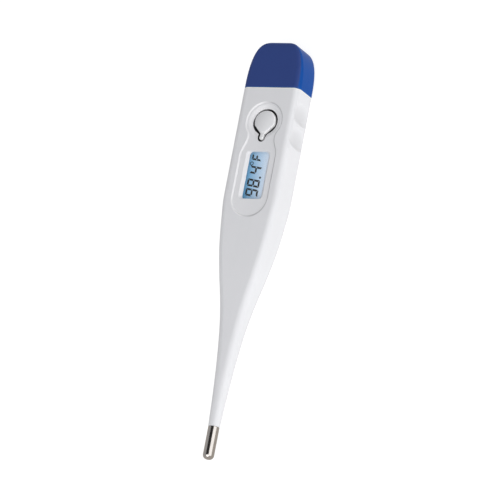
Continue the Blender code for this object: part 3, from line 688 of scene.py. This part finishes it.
def piezo_disc(centre_y):
    """A fired disc with a silvered middle and a bare ceramic rim."""
    f = Finish("piezo_disc")
    x, y, z = f.axes()
    silver = x.apart(y - centre_y).below(3.9 * MM)
    grain = f.noise(3000.0, 4.0)
    plating = f.blend(grain, (0.6, 0.6, 0.6), (0.85, 0.84, 0.82))
    base = f.blend(silver, (0.62, 0.58, 0.5), plating)
    return f.done(base, 0.45 + grain * 0.2, grain, 0.006 * MM, Metallic=silver * 0.8)


def display_film(dark, light):
    """The blue-grey film over the display, with painted light: deeper to the left and paler to the
    right as the light falls from the right, paler towards the cap, and glowing faintly in its own
    colour.
    """
    # Painted glow: the film gives off light in its own colour, though nothing lights it from behind
    f = Finish("display_film", IOR=1.5, Emission_Strength=0.22)
    x, y, z = f.axes()
    half = FILM_HIGH.x
    # Painted light: the blue goes from deeper on the left to paler on the right, as the light falls
    # from the right; it also pales towards the cap
    across = x.rise(-half * 0.86, half * 1.5)
    along = y.rise(WINDOW_Y, 18.0 * MM) * 0.25
    share = across * across * 0.35 + across * 0.65 + along + f.noise(260.0) * 0.1 - 0.05
    fine = f.noise(7000.0, 1.0)
    film_blue_and_painted_light = f.blend(share.held(), dark, light)
    return f.done(film_blue_and_painted_light, 0.32 + fine * 0.08, fine, 0.0015 * MM, Emission_Color=film_blue_and_painted_light)


def display_glass():
    """Thin glass: clear on its faces, green-grey and ground along its edges."""
    f = Finish("display_glass", IOR=1.52)
    x, y, z = f.axes()
    margin = 0.05 * MM
    outward_x = x.size().above(FILM_HIGH.x + margin)
    outward_y = (y - WINDOW_Y).size().above(FILM_HIGH.y - WINDOW_Y + margin)
    ground = (outward_x + outward_y).held()
    return f.done(
        f.blend(ground, (0.62, 0.70, 0.74), (0.42, 0.56, 0.53)),
        0.04 + ground * 0.4 + f.noise(900.0, 3.0) * 0.03, f.noise(3000.0), 0.002 * MM,
        Alpha=0.25 + ground * 0.5,
    )


def clear_lens():
    """Clear moulded acrylic, with a faint haze of fine wiping marks."""
    f = Finish("clear_lens", IOR=1.49)
    marks, haze = f.streaks(300.0, 5200.0, 300.0), f.noise(200.0, 3.0)
    base = f.blend(haze, (0.80, 0.88, 0.93), (0.92, 0.96, 1.0))
    return f.done(base, 0.03 + marks * 0.03, marks, 0.0008 * MM, Alpha=0.012 + haze * 0.016)


def segment_ink(colour):
    f = Finish("segment_ink")
    speckle = f.noise(8000.0)
    base = f.shades(speckle, colour, 0.8, 1.25)
    return f.done(base, 0.4 + speckle * 0.1, speckle, 0.001 * MM)


def cell_steel(low, high):
    """A nickelled cell can: turned rings on its top and a pressed plus sign."""
    f = Finish("cell_steel", Metallic=1.0)
    x, y, z = f.axes()
    dy = y - (low.y + high.y) / 2
    rings = (x.apart(dy) * 26000.0).wave() * 0.5 + 0.5
    stroke, reach = 0.22 * MM, 1.1 * MM
    aside, ahead = x.size(), (dy + 2.3 * MM).size()
    cross = aside.below(stroke) * ahead.below(reach) + ahead.below(stroke) * aside.below(reach)
    plus = (cross * z.above(high.z - 0.05 * MM)).held()
    haze = f.noise(900.0, 3.0)
    nickel = f.blend(haze, (0.6, 0.59, 0.56), (0.78, 0.77, 0.74))
    rough = 0.2 + rings * 0.06 + haze * 0.08 + plus * 0.2
    return f.done(f.blend(plus, nickel, (0.3, 0.29, 0.28)), rough, rings * 0.2 - plus, 0.006 * MM)


def studio_floor(colour):
    f = Finish(
        "pale_floor", IOR=1.4, Specular_IOR_Level=0.1, Emission_Color=(1.0, 1.0, 1.0, 1.0),
        Emission_Strength=0.85,
    )
    speck = f.noise(30.0)
    f.set(Base_Color=f.shades(speck, colour, 0.995, 1.0), Roughness=0.85 + speck * 0.05)
    return f.material


# The operators


def settings(context):
    return context.scene.thermometer_sizes, context.scene.thermometer_colours


class BuildPiece(bpy.types.Operator):
    """Shared ground for the operators that build the pieces."""

    bl_options = {"REGISTER", "UNDO"}


def panel_cutter(depth):
    """The sunk panel's tool: a round-footed, sloping wall that rolls over at the front face."""
    floor = FRONT_Z - depth
    foot = [(floor + z * MM, grow) for z, grow in ((0.0, -0.12), (0.01, -0.06), (0.04, 0.0))]
    brim = ((-0.05, 0.3), (-0.015, 0.37), (0.005, 0.46), (0.4, 0.5))
    levels = foot + [(FRONT_Z + z * MM, grow) for z, grow in brim]
    rings = [flat(widened(panel_outline(), grow * MM), z) for z, grow in levels]
    return object_from(stack_rings(rings), "panel_tool")


def dish_cutter(depth, steps):
    """The shallow dish around the key, and the round hole in its middle."""
    floor, high = FRONT_Z - depth, FRONT_Z + 0.5 * MM
    bowl = (
        (5.42, 0.01), (5.25, -0.01), (5.1, -0.05), (4.75, -0.2), (4.4, -0.38), (4.15, -0.5),
        (4.04, -0.54), (3.98, -0.58), (3.93, -0.66), (0.0, -0.66),
    )
    profile = [(0.0, high), (5.45 * MM, high)] + [(r * MM, floor + z * MM) for r, z in bowl]
    return object_from(turn(profile, (0.0, KEY_Y, 0.0), steps), "dish_tool")


def window_cutter(depth, wall):
    """The display's opening: long sides that slope in, square ends and soft corners."""
    floor, ceiling = FRONT_Z - depth, FRONT_Z - wall
    half_x, half_y, taper = 3.97 * MM, 7.4 * MM, 0.85 * MM
    rings = []
    for share in (-0.6, 0.0, 0.94, 1.0, 1.25):
        z = ceiling + (floor - ceiling) * share
        soft = max(share - 0.94, 0.0) * 1.6 * MM
        x = half_x - taper * (1 - share) + soft
        y = half_y - 0.06 * MM * (1 - share) + soft
        outline = rounded_box(x, y, 1.05 * MM + soft, 10, (0.0, WINDOW_Y))
        rings.append(flat(outline, z))
    return object_from(stack_rings(rings), "window_tool")


def grip_cutter(side, y, depth, steps):
    """A finger scoop: shallow towards the cap, with a steep curved edge towards the tip."""
    axes = Vector((3.4 * MM, 8.0 * MM, 9.6 * MM))
    bm = bmesh.new()
    bmesh.ops.create_uvsphere(bm, u_segments=steps, v_segments=steps // 2, radius=1.0)
    bmesh.ops.scale(bm, vec=axes, verts=bm.verts)
    toward_tip = [vert for vert in bm.verts if vert.co.y < 0.0]
    bmesh.ops.scale(bm, vec=(1.0, 0.36, 1.0), verts=toward_tip)
    place = (side * (HALF_WIDTH + axes.x - depth), y, MIDDLE_Z)
    bmesh.ops.translate(bm, vec=place, verts=bm.verts)
    return object_from(bm, "grip_tool")


class THERMOMETER_OT_case(BuildPiece):
    """Builds the one-piece case: tapered shell, panel, window, key hole and finger grips"""

    bl_idname = "thermometer.case"
    bl_label = "Case"

    def execute(self, context):
        sizes, colours = settings(context)
        steps = sizes.ring_steps
        stations = smooth_stations(CASE_STATIONS)
        lip = 0.14 * MM
        y, half_width, half_depth, radius = stations[0]
        outer = []
        for k in (0.0, 0.3, 0.65, 1.0):
            inset = lip * (1 - k) ** 2 * 0.6
            outer.append(section(y - lip * k, half_width - inset, half_depth - inset, radius, steps))
        outer += [section(*station, steps) for station in stations[1:]]
        spigot, bore, bore_y = 1.35 * MM, 0.95 * MM, -40.0 * MM
        outer += [section(y, spigot, spigot, spigot, steps) for y in (STEM_END_Y, SPIGOT_END_Y)]
        inner = []
        for y, half_width, half_depth, _ in stations:
            if y >= bore_y:
                x, z = half_width - sizes.side_wall, half_depth - sizes.face_wall
                inner.append(section(y, x, z, min(0.8 * MM, z), steps))
        inner += [section(y, bore, bore, bore, steps) for y in (bore_y, SPIGOT_END_Y)]
        rings = outer + inner[::-1] + outer[:1]
        case = object_from(stack_rings(rings, closed=True), "moulded_case")

        depth, ceiling = sizes.panel_depth, FRONT_Z - sizes.face_wall
        slot = [flat(keyhole_outline(), z) for z in (ceiling - 0.4 * MM, FRONT_Z + 0.4 * MM)]
        grips = [
            grip_cutter(side, grip_y, sizes.grip_depth, 144)
            for side in (-1, 1) for grip_y in (KEY_Y - 5.3 * MM, KEY_Y + 2.1 * MM)
        ]
        combine(case, grips, "DIFFERENCE")
        tools = [
            panel_cutter(depth), dish_cutter(depth, sizes.turn_steps),
            object_from(stack_rings(slot), "key_slot_tool"), window_cutter(depth, sizes.face_wall),
        ]
        combine(case, tools, "DIFFERENCE")
        white = case_finish(colours.case, FRONT_Z - depth)
        finish_piece(case, "case", ["case_shell"], white)
        return {"FINISHED"}


class THERMOMETER_OT_key(BuildPiece):
    """Builds the round key with its tongue, flange and switch nib"""

    bl_idname = "thermometer.key"
    bl_label = "Key"

    def crown(self, bm, edge, fall):
        """Domes the face: everything above the edge sinks with its distance from the middle."""
        for normal, middle in ((Vector((1, 0, 0)), 0.0), (Vector((0, 1, 0)), KEY_Y)):
            for i in range(-14, 15):
                bmesh.ops.bisect_plane(
                    bm, geom=bm.verts[:] + bm.edges[:] + bm.faces[:], plane_no=normal,
                    plane_co=normal * (middle + i * 0.31 * MM),
                )
        rim = KEY_HOLE_RADIUS * 0.9
        for vert in bm.verts:
            if vert.co.z > edge - 0.01 * MM:
                away = (vert.co.xy - Vector((0.0, KEY_Y))).length
                tongue = max(1 - (away - rim) / (1.6 * MM), 0.1)
                vert.co.z -= fall * min((away / rim) ** 2, tongue)

    def execute(self, context):
        sizes, colours = settings(context)
        top = KEY_HIGH.z + 0.12 * MM
        flange_low, flange_high = 7.9 * MM, 8.6 * MM
        outline = widened(keyhole_outline(), -sizes.key_gap)
        edge = top - 0.3 * MM
        rounding = ((0.0, 0.0), (0.1, -0.03), (0.19, -0.09), (0.26, -0.19), (0.3, -0.34))
        rings = [flat(outline, flange_low + 0.1 * MM)]
        rings += [flat(widened(outline, grow * MM), edge + z * MM) for z, grow in rounding]
        bm = stack_rings(rings)
        self.crown(bm, edge, 0.5 * MM)
        body = object_from(bm, "moulded_key")
        foot = KEY_LOW.z
        flange = [
            (0.0, flange_high), (4.5 * MM, flange_high), (4.6 * MM, flange_high - 0.1 * MM),
            (4.6 * MM, flange_low), (1.1 * MM, flange_low), (0.95 * MM, flange_low - 0.15 * MM),
            (0.9 * MM, foot + 0.08 * MM), (0.82 * MM, foot), (0.0, foot),
        ]
        disc = turn(flange, (0.0, KEY_Y, 0.0), sizes.turn_steps)
        heel = block(
            Vector((-1.9 * MM, KEY_LOW.y, flange_low + 0.05 * MM)),
            Vector((1.9 * MM, KEY_Y - 3.2 * MM, flange_high - 0.03 * MM)),
        )
        combine(body, [object_from(disc, "key_flange"), object_from(heel, "key_heel")], "UNION")
        finish = key_finish(colours.key, flange_high + 0.03 * MM)
        finish_piece(body, "key", ["power_key"], finish)
        return {"FINISHED"}


def cap_half_size(y):
    """The cap's half width and half depth at a place along it."""
    share = min(max((y - MOUTH_Y) / (CAP_HIGH.y - MOUTH_Y), 0.0), 1.0)
    return HALF_WIDTH * (1 - share**2.3) ** 0.29, HALF_DEPTH * (1 - share**18) ** 0.25


class THERMOMETER_OT_cap(BuildPiece):
    """Builds the hollow battery cap with the collar that plugs into the case"""

    bl_idname = "thermometer.cap"
    bl_label = "Battery cap"

    def execute(self, context):
        sizes, colours = settings(context)
        steps = sizes.ring_steps
        length = CAP_HIGH.y - MOUTH_Y
        start = MOUTH_Y + 0.05 * MM
        last, count, lip = 0.985, 22, 0.16 * MM
        width, depth = cap_half_size(MOUTH_Y + length * last)
        rings = [
            section(CAP_HIGH.y, width * 0.5, depth * 0.5, 0.5 * MM, steps),
            section(CAP_HIGH.y - 0.02 * MM, width * 0.85, depth * 0.85, 0.8 * MM, steps),
        ]
        for i in range(count, 0, -1):
            share = last * math.sin(math.pi / 2 * i / count)
            y = start + (length - 0.05 * MM) * share
            rings.append(section(y, *cap_half_size(y), (2.0 - 1.1 * share**1.5) * MM, steps))
        for k in (1.0, 0.6, 0.25, 0.0):
            half_sizes = [half - lip * (1 - k) ** 2 * 0.7 for half in (HALF_WIDTH, HALF_DEPTH)]
            rings.append(section(start + lip * k, *half_sizes, 2.0 * MM, steps))
        half_x, half_z, corner, wall = 8.05 * MM, 3.6 * MM, 0.75 * MM, 1.1 * MM
        mouth, groove_high, groove_low, groove = CAP_LOW.y, 47.3 * MM, 46.5 * MM, 0.6 * MM
        straight_y, cavity_y = MOUTH_Y + 4.0 * MM, CAP_HIGH.y - 1.45 * MM
        collar = [
            (start, 0.0), (groove_high, 0.0), (groove_high, groove), (groove_low, groove),
            (groove_low, 0.0), (mouth + 0.4 * MM, 0.0), (mouth, 0.2 * MM),
            (mouth, wall - 0.1 * MM), (mouth + 0.1 * MM, wall), (straight_y, wall),
        ]
        for y, inset in collar:
            rings.append(section(y, half_x - inset, half_z - inset, corner, steps))
        for i in range(1, 9):
            y = straight_y + (cavity_y - straight_y) * i / 8
            width = min(half_x - wall, cap_half_size(y + 1.2 * MM)[0] - 0.65 * MM)
            rings.append(section(y, width, half_z - wall, corner, steps))
        cap = object_from(stack_rings(rings), "moulded_cap")
        blue = cap_finish(colours.cap, colours.cap_shaded_face)
        finish_piece(cap, "cap", ["battery_cap"], blue)
        return {"FINISHED"}


class THERMOMETER_OT_probe(BuildPiece):
    """Builds the thin drawn tip with its round nose"""

    bl_idname = "thermometer.probe"
    bl_label = "Probe tip"

    def execute(self, context):
        sizes, colours = settings(context)
        radius, wall, corner = TIP_HIGH.x, 0.25 * MM, 1.3 * MM
        length, bore = TIP_HIGH.y - TIP_LOW.y, radius - wall
        profile = [(0.0, length)] + arc((radius - corner, length - corner), corner, 90, 0, 14)[1:]
        profile += [
            (radius, 0.12 * MM), (radius - 0.02 * MM, 0.04 * MM), (radius - 0.08 * MM, 0.0),
            (bore, 0.0), (bore, length - corner), (bore - 0.9 * MM, length - wall),
            (0.0, length - wall),
        ]
        bm = turn(profile, (0.0, TIP_HIGH.y, MIDDLE_Z), sizes.turn_steps, (0, -1, 0))
        tip = object_from(bm, "drawn_tip")
        steel = drawn_steel("tip_steel", colours.steel)
        finish_piece(tip, "case", ["probe_tip"], steel)
        return {"FINISHED"}


# Segments of one figure: the bars of an upright eight, by their letters
SEGMENT_ENDS = {
    "a": ((0, 2), (1, 2)), "b": ((1, 2), (1, 1)), "c": ((1, 1), (1, 0)),
    "d": ((0, 0), (1, 0)), "e": ((0, 1), (0, 0)), "f": ((0, 2), (0, 1)), "g": ((0, 1), (1, 1)),
}
OUTWARDS = {"a": (0, 1), "d": (0, -1), "b": (1, 0), "c": (1, 0), "e": (-1, 0), "f": (-1, 0)}
FIGURES = {"9": "abcdfg", "8": "abcdefg", "4": "bcfg", "F": "aefg"}
LEAN = 0.16
INK = 0.012 * MM


def bar_outline(start, end, outward, half, gap):
    """One bar of a figure: mitred at the figure's corners, or pointed if it crosses the middle."""
    along = (end - start).normalized()
    if outward is None:
        across = Vector((-along.y, along.x)) * half
        start, end = start + along * gap, end - along * gap
        near, far = start + along * half, end - along * half
        return [start, near + across, far + across, end, far - across, near - across]
    reach = [half * 0.65 if abs(corner.y) > half else 0.0 for corner in (start, end)]
    outer, inner = outward * half, outward * -half
    return [
        start - along * (reach[0] - gap) + outer, end + along * (reach[1] - gap) + outer,
        end - along * (half + gap) + inner, start + along * (half + gap) + inner,
    ]


def draw_figure(bm, letter, centre, height, width, thickness, level):
    """A seven-bar figure whose top points to -X, read towards +Y, leaning forwards."""
    half_h, half_w = (height - thickness) / 2, (width - thickness) / 2
    for name in FIGURES[letter]:
        start, end = [Vector((half_w * (2 * u - 1), half_h * (v - 1))) for u, v in SEGMENT_ENDS[name]]
        outward = Vector(OUTWARDS[name]) if name in OUTWARDS else None
        corners = bar_outline(start, end, outward, thickness / 2, thickness * 0.06)
        ring = [
            bm.verts.new((centre[0] - up, centre[1] + ahead + up * LEAN, level))
            for ahead, up in corners
        ]
        made = bmesh.ops.extrude_face_region(bm, geom=[bm.faces.new(ring)])["geom"]
        lifted = [item for item in made if isinstance(item, bmesh.types.BMVert)]
        bmesh.ops.translate(bm, vec=(0, 0, INK), verts=lifted)


class THERMOMETER_OT_display(BuildPiece):
    """Builds the display's film, its figures and the clear lens over them"""

    bl_idname = "thermometer.display"
    bl_label = "Display"

    def plate(self, low, high, rounding, name):
        bm = block(low, high)
        for upright, offset, segments in ((True, rounding * 4, 5), (False, rounding, 2)):
            edges = [
                edge for edge in bm.edges
                if (abs(edge.verts[0].co.z - edge.verts[1].co.z) > 0.01 * MM) is upright
            ]
            bmesh.ops.bevel(
                bm, geom=edges, offset=offset, affect="EDGES", segments=segments, profile=0.5,
                material=-1,
            )
        return object_from(bm, name)

    def execute(self, context):
        sizes, colours = settings(context)
        film = self.plate(FILM_LOW, FILM_HIGH, 0.02 * MM, "display_film_sheet")
        film_blue_and_painted_light = display_film(colours.film_dark, colours.film_light)
        finish_piece(film, "case", ["lcd_polariser"], film_blue_and_painted_light)
        lens = self.plate(LENS_LOW, LENS_HIGH, 0.06 * MM, "moulded_lens")
        finish_piece(lens, "case", ["display_lens"], clear_lens())

        level = FILM_HIGH.z + 0.002 * MM
        height = sizes.digit_height
        width, thick = height * 0.56, height * 0.142
        row, first = -0.83 * MM, WINDOW_Y - 4.9 * MM
        bm = bmesh.new()
        for letter, along in (("9", 0.0), ("8", 2.95 * MM), ("4", 6.92 * MM)):
            draw_figure(bm, letter, (row, first + along), height, width, thick, level)
        draw_figure(
            bm, "F", (row - 0.38 * MM, first + 10.9 * MM), height * 0.78, width * 0.82,
            thick * 0.92, level,
        )
        dot = (0.34 * MM, 0.0, row + 1.85 * MM, first + 4.68 * MM)
        degree = (0.60 * MM, 0.38 * MM, row - 1.76 * MM, first + 9.0 * MM)
        for radius, inner, x, y in (dot, degree):
            profile = [(inner, INK), (radius, INK), (radius, 0.0), (inner, 0.0)]
            turn(profile + profile[:1] * (inner > 0), (x, y, level), 40, bm=bm)
        figures = object_from(bm, "display_figures")
        finish_piece(figures, "case", [], segment_ink(colours.ink))
        return {"FINISHED"}


class THERMOMETER_OT_switch(BuildPiece):
    """Builds the snap dome under the key"""

    bl_idname = "thermometer.switch"
    bl_label = "Snap dome"

    def execute(self, context):
        sizes, _ = settings(context)
        radius, sheet = DOME_HIGH.x, 0.08 * MM
        base, rise = DOME_LOW.z, DOME_HIGH.z - DOME_LOW.z
        sweep = arc((0.0, 0.0), 1.0, 90, 0, 16)
        inner_radius = radius - 0.12 * MM
        outer = [(radius * x, base + rise * z) for x, z in sweep]
        inner = [(inner_radius * x, base + (rise - sheet) * z) for x, z in reversed(sweep)]
        bm = turn(outer + inner, (0.0, KEY_Y, 0.0), sizes.turn_steps)
        dome = object_from(bm, "snap_dome_sheet")
        steel = sheet_metal("dome_steel", (0.66, 0.64, 0.58), 0.2)
        finish_piece(dome, "case", ["snap_dome"], steel)
        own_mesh(dome)
        return {"FINISHED"}


class THERMOMETER_OT_cell(BuildPiece):
    """Builds the button cell with its crimped lid"""

    bl_idname = "thermometer.cell"
    bl_label = "Button cell"

    def execute(self, context):
        sizes, _ = settings(context)
        radius, low, high = CELL_HIGH.x, CELL_LOW.z, CELL_HIGH.z
        corner = 0.28 * MM
        profile = [(0.0, high)] + arc((radius - corner, high - corner), corner, 90, 0, 6)
        profile += [
            (radius, low + 0.62 * MM), (radius - 0.12 * MM, low + 0.42 * MM),
            (radius - 0.38 * MM, low + 0.32 * MM), (3.12 * MM, low + 0.34 * MM),
            (3.05 * MM, low + 0.26 * MM), (2.98 * MM, low + 0.06 * MM), (2.88 * MM, low), (0.0, low),
        ]
        bm = turn(profile, (0.0, CELL_Y, 0.0), sizes.turn_steps)
        cell = object_from(bm, "crimped_cell")
        nickel = cell_steel(CELL_LOW, CELL_HIGH)
        finish_piece(cell, "case", ["button_cell"], nickel)
        return {"FINISHED"}


class THERMOMETER_OT_inside(BuildPiece):
    """Gives every inner piece of the frame its own finish"""

    bl_idname = "thermometer.inside"
    bl_label = "Inner pieces"

    def execute(self, context):
        wire, rubber, glass = lacquered_wire(), black_rubber(), display_glass()
        spring = sheet_metal("spring_sheet", (0.66, 0.64, 0.58), 0.24)
        plate_y = sum(corner.y for corner in node_box("buzzer_ceramic")) / 2
        finishes = {
            "cap_seal": rubber, "zebra_strip": rubber,
            "tip_potting": cast_resin("potting_resin", (0.62, 0.56, 0.44), (0.80, 0.75, 0.64), 0.4),
            "thermistor_bead": cast_resin("bead_epoxy", EPOXY_DARK, (0.02, 0.02, 0.024), 0.25),
            "chip_blob": cast_resin("blob_epoxy", EPOXY_DARK, (0.018, 0.018, 0.02), 0.3),
            "sensor_lead_left": wire, "sensor_lead_right": wire,
            "buzzer_lead_1": wire, "buzzer_lead_2": wire,
            "lens_gasket": foam_tape(),
            "lcd_front_glass": glass, "lcd_rear_glass": glass,
            # The reflector gets the same painted glow and painted left-to-right light as the film
            "lcd_reflector": display_film((0.3, 0.42, 0.52), (0.5, 0.6, 0.68)),
            "inner_frame": frame_moulding((0.66, 0.66, 0.64)),
            "circuit_board": board_laminate(),
            "frame_screw": drawn_steel("screw_steel", (0.7, 0.69, 0.67), 0.28, (900.0, 900.0, 900.0)),
            "buzzer_plate": sheet_metal("brass_sheet", (0.70, 0.50, 0.20), 0.3),
            "buzzer_ceramic": piezo_disc(plate_y),
            "contact_plus": spring, "contact_minus": spring,
        }
        for kind, count, body in (
            ("resistor", 3, (0.02, 0.02, 0.022)), ("capacitor", 2, (0.48, 0.35, 0.22)),
        ):
            for number in range(1, count + 1):
                name = f"chip_{kind}_{number}"
                finishes[name] = chip_finish(name, *node_box(name), body)
        for name, material in finishes.items():
            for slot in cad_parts[name].material_slots:
                slot.material = material
        return {"FINISHED"}


class THERMOMETER_OT_stage(BuildPiece):
    """Lays the pale floor and sets the soft lights and the camera"""

    bl_idname = "thermometer.stage"
    bl_label = "Stage"

    def soft_light(self, name, toward, distance, size, power):
        data = bpy.data.lights.new(name, "AREA")
        data.shape = "RECTANGLE"
        data.size, data.size_y = size
        data.energy = power
        light = linked(name, data)
        direction = Vector(toward).normalized()
        light.location = Vector((0.0, 0.0, MIDDLE_Z)) + direction * distance
        light.rotation_euler = direction.to_track_quat("Z", "Y").to_euler()

    def execute(self, context):
        _, colours = settings(context)
        scene = context.scene
        bm = bmesh.new()
        bmesh.ops.create_grid(bm, x_segments=1, y_segments=1, size=3.0)
        bmesh.ops.translate(bm, vec=(0, 0, CASE_LOW.z - 0.02 * MM), verts=bm.verts)
        floor = object_from(bm, "floor")
        floor.data.materials.append(studio_floor(colours.floor))
        floor.visible_glossy = False

        scene.world = Surround("studio").world
        scene.view_settings.view_transform = "Standard"

        self.soft_light("key_light", (0.83, 0.0, 0.5), 0.9, (1.2, 1.0), 4.2)
        self.soft_light("end_light", (0.1, -0.65, 0.75), 1.0, (0.7, 0.7), 3.7)

        data = bpy.data.cameras.new("view")
        data.lens = 495.0
        data.sensor_width = 36.0
        data.clip_start, data.clip_end = 0.05, 20.0
        camera = linked("view", data)
        azimuth, elevation, roll = math.radians(59.74), math.radians(56.23), math.radians(53.25)
        level = Vector((math.cos(azimuth), math.sin(azimuth), 0.0))
        toward = Vector((level.y, -level.x, math.tan(elevation))).normalized()
        right = level * math.cos(roll) - toward.cross(level) * math.sin(roll)
        turned = Matrix((right, toward.cross(right), toward)).transposed().to_4x4()
        middle = Vector((-0.11 * MM, 0.83 * MM, 3.62 * MM))
        camera.matrix_world = Matrix.Translation(middle + toward * 2.0) @ turned
        scene.camera = camera
        return {"FINISHED"}


class THERMOMETER_PT_pieces(bpy.types.Panel):
    """Lists the pieces of the thermometer and their sizes."""

    bl_idname = "THERMOMETER_PT_pieces"
    bl_label = "Digital thermometer"
    bl_space_type = "VIEW_3D"
    bl_region_type = "UI"
    bl_category = "Thermometer"

    def draw(self, context):
        for operator in PIECE_OPERATORS:
            self.layout.operator(operator.bl_idname)
        for group in settings(context):
            box = self.layout.box()
            for name in group.__annotations__:
                box.prop(group, name)


PIECE_OPERATORS = (
    THERMOMETER_OT_case,
    THERMOMETER_OT_key,
    THERMOMETER_OT_cap,
    THERMOMETER_OT_probe,
    THERMOMETER_OT_display,
    THERMOMETER_OT_switch,
    THERMOMETER_OT_cell,
    THERMOMETER_OT_inside,
    THERMOMETER_OT_stage,
)
CLASSES = (ThermometerSizes, ThermometerColours, *PIECE_OPERATORS, THERMOMETER_PT_pieces)


def register():
    for item in CLASSES:
        bpy.utils.register_class(item)
    bpy.types.Scene.thermometer_sizes = PointerProperty(type=ThermometerSizes)
    bpy.types.Scene.thermometer_colours = PointerProperty(type=ThermometerColours)


def unregister():
    del bpy.types.Scene.thermometer_colours
    del bpy.types.Scene.thermometer_sizes
    for item in reversed(CLASSES):
        bpy.utils.unregister_class(item)


def main():
    register()
    bpy.ops.thermometer.stage()
    bpy.ops.thermometer.case()
    bpy.ops.thermometer.key()
    bpy.ops.thermometer.cap()
    bpy.ops.thermometer.probe()
    bpy.ops.thermometer.display()
    bpy.ops.thermometer.switch()
    bpy.ops.thermometer.cell()
    bpy.ops.thermometer.inside()


if __name__ == "__main__":
    main()
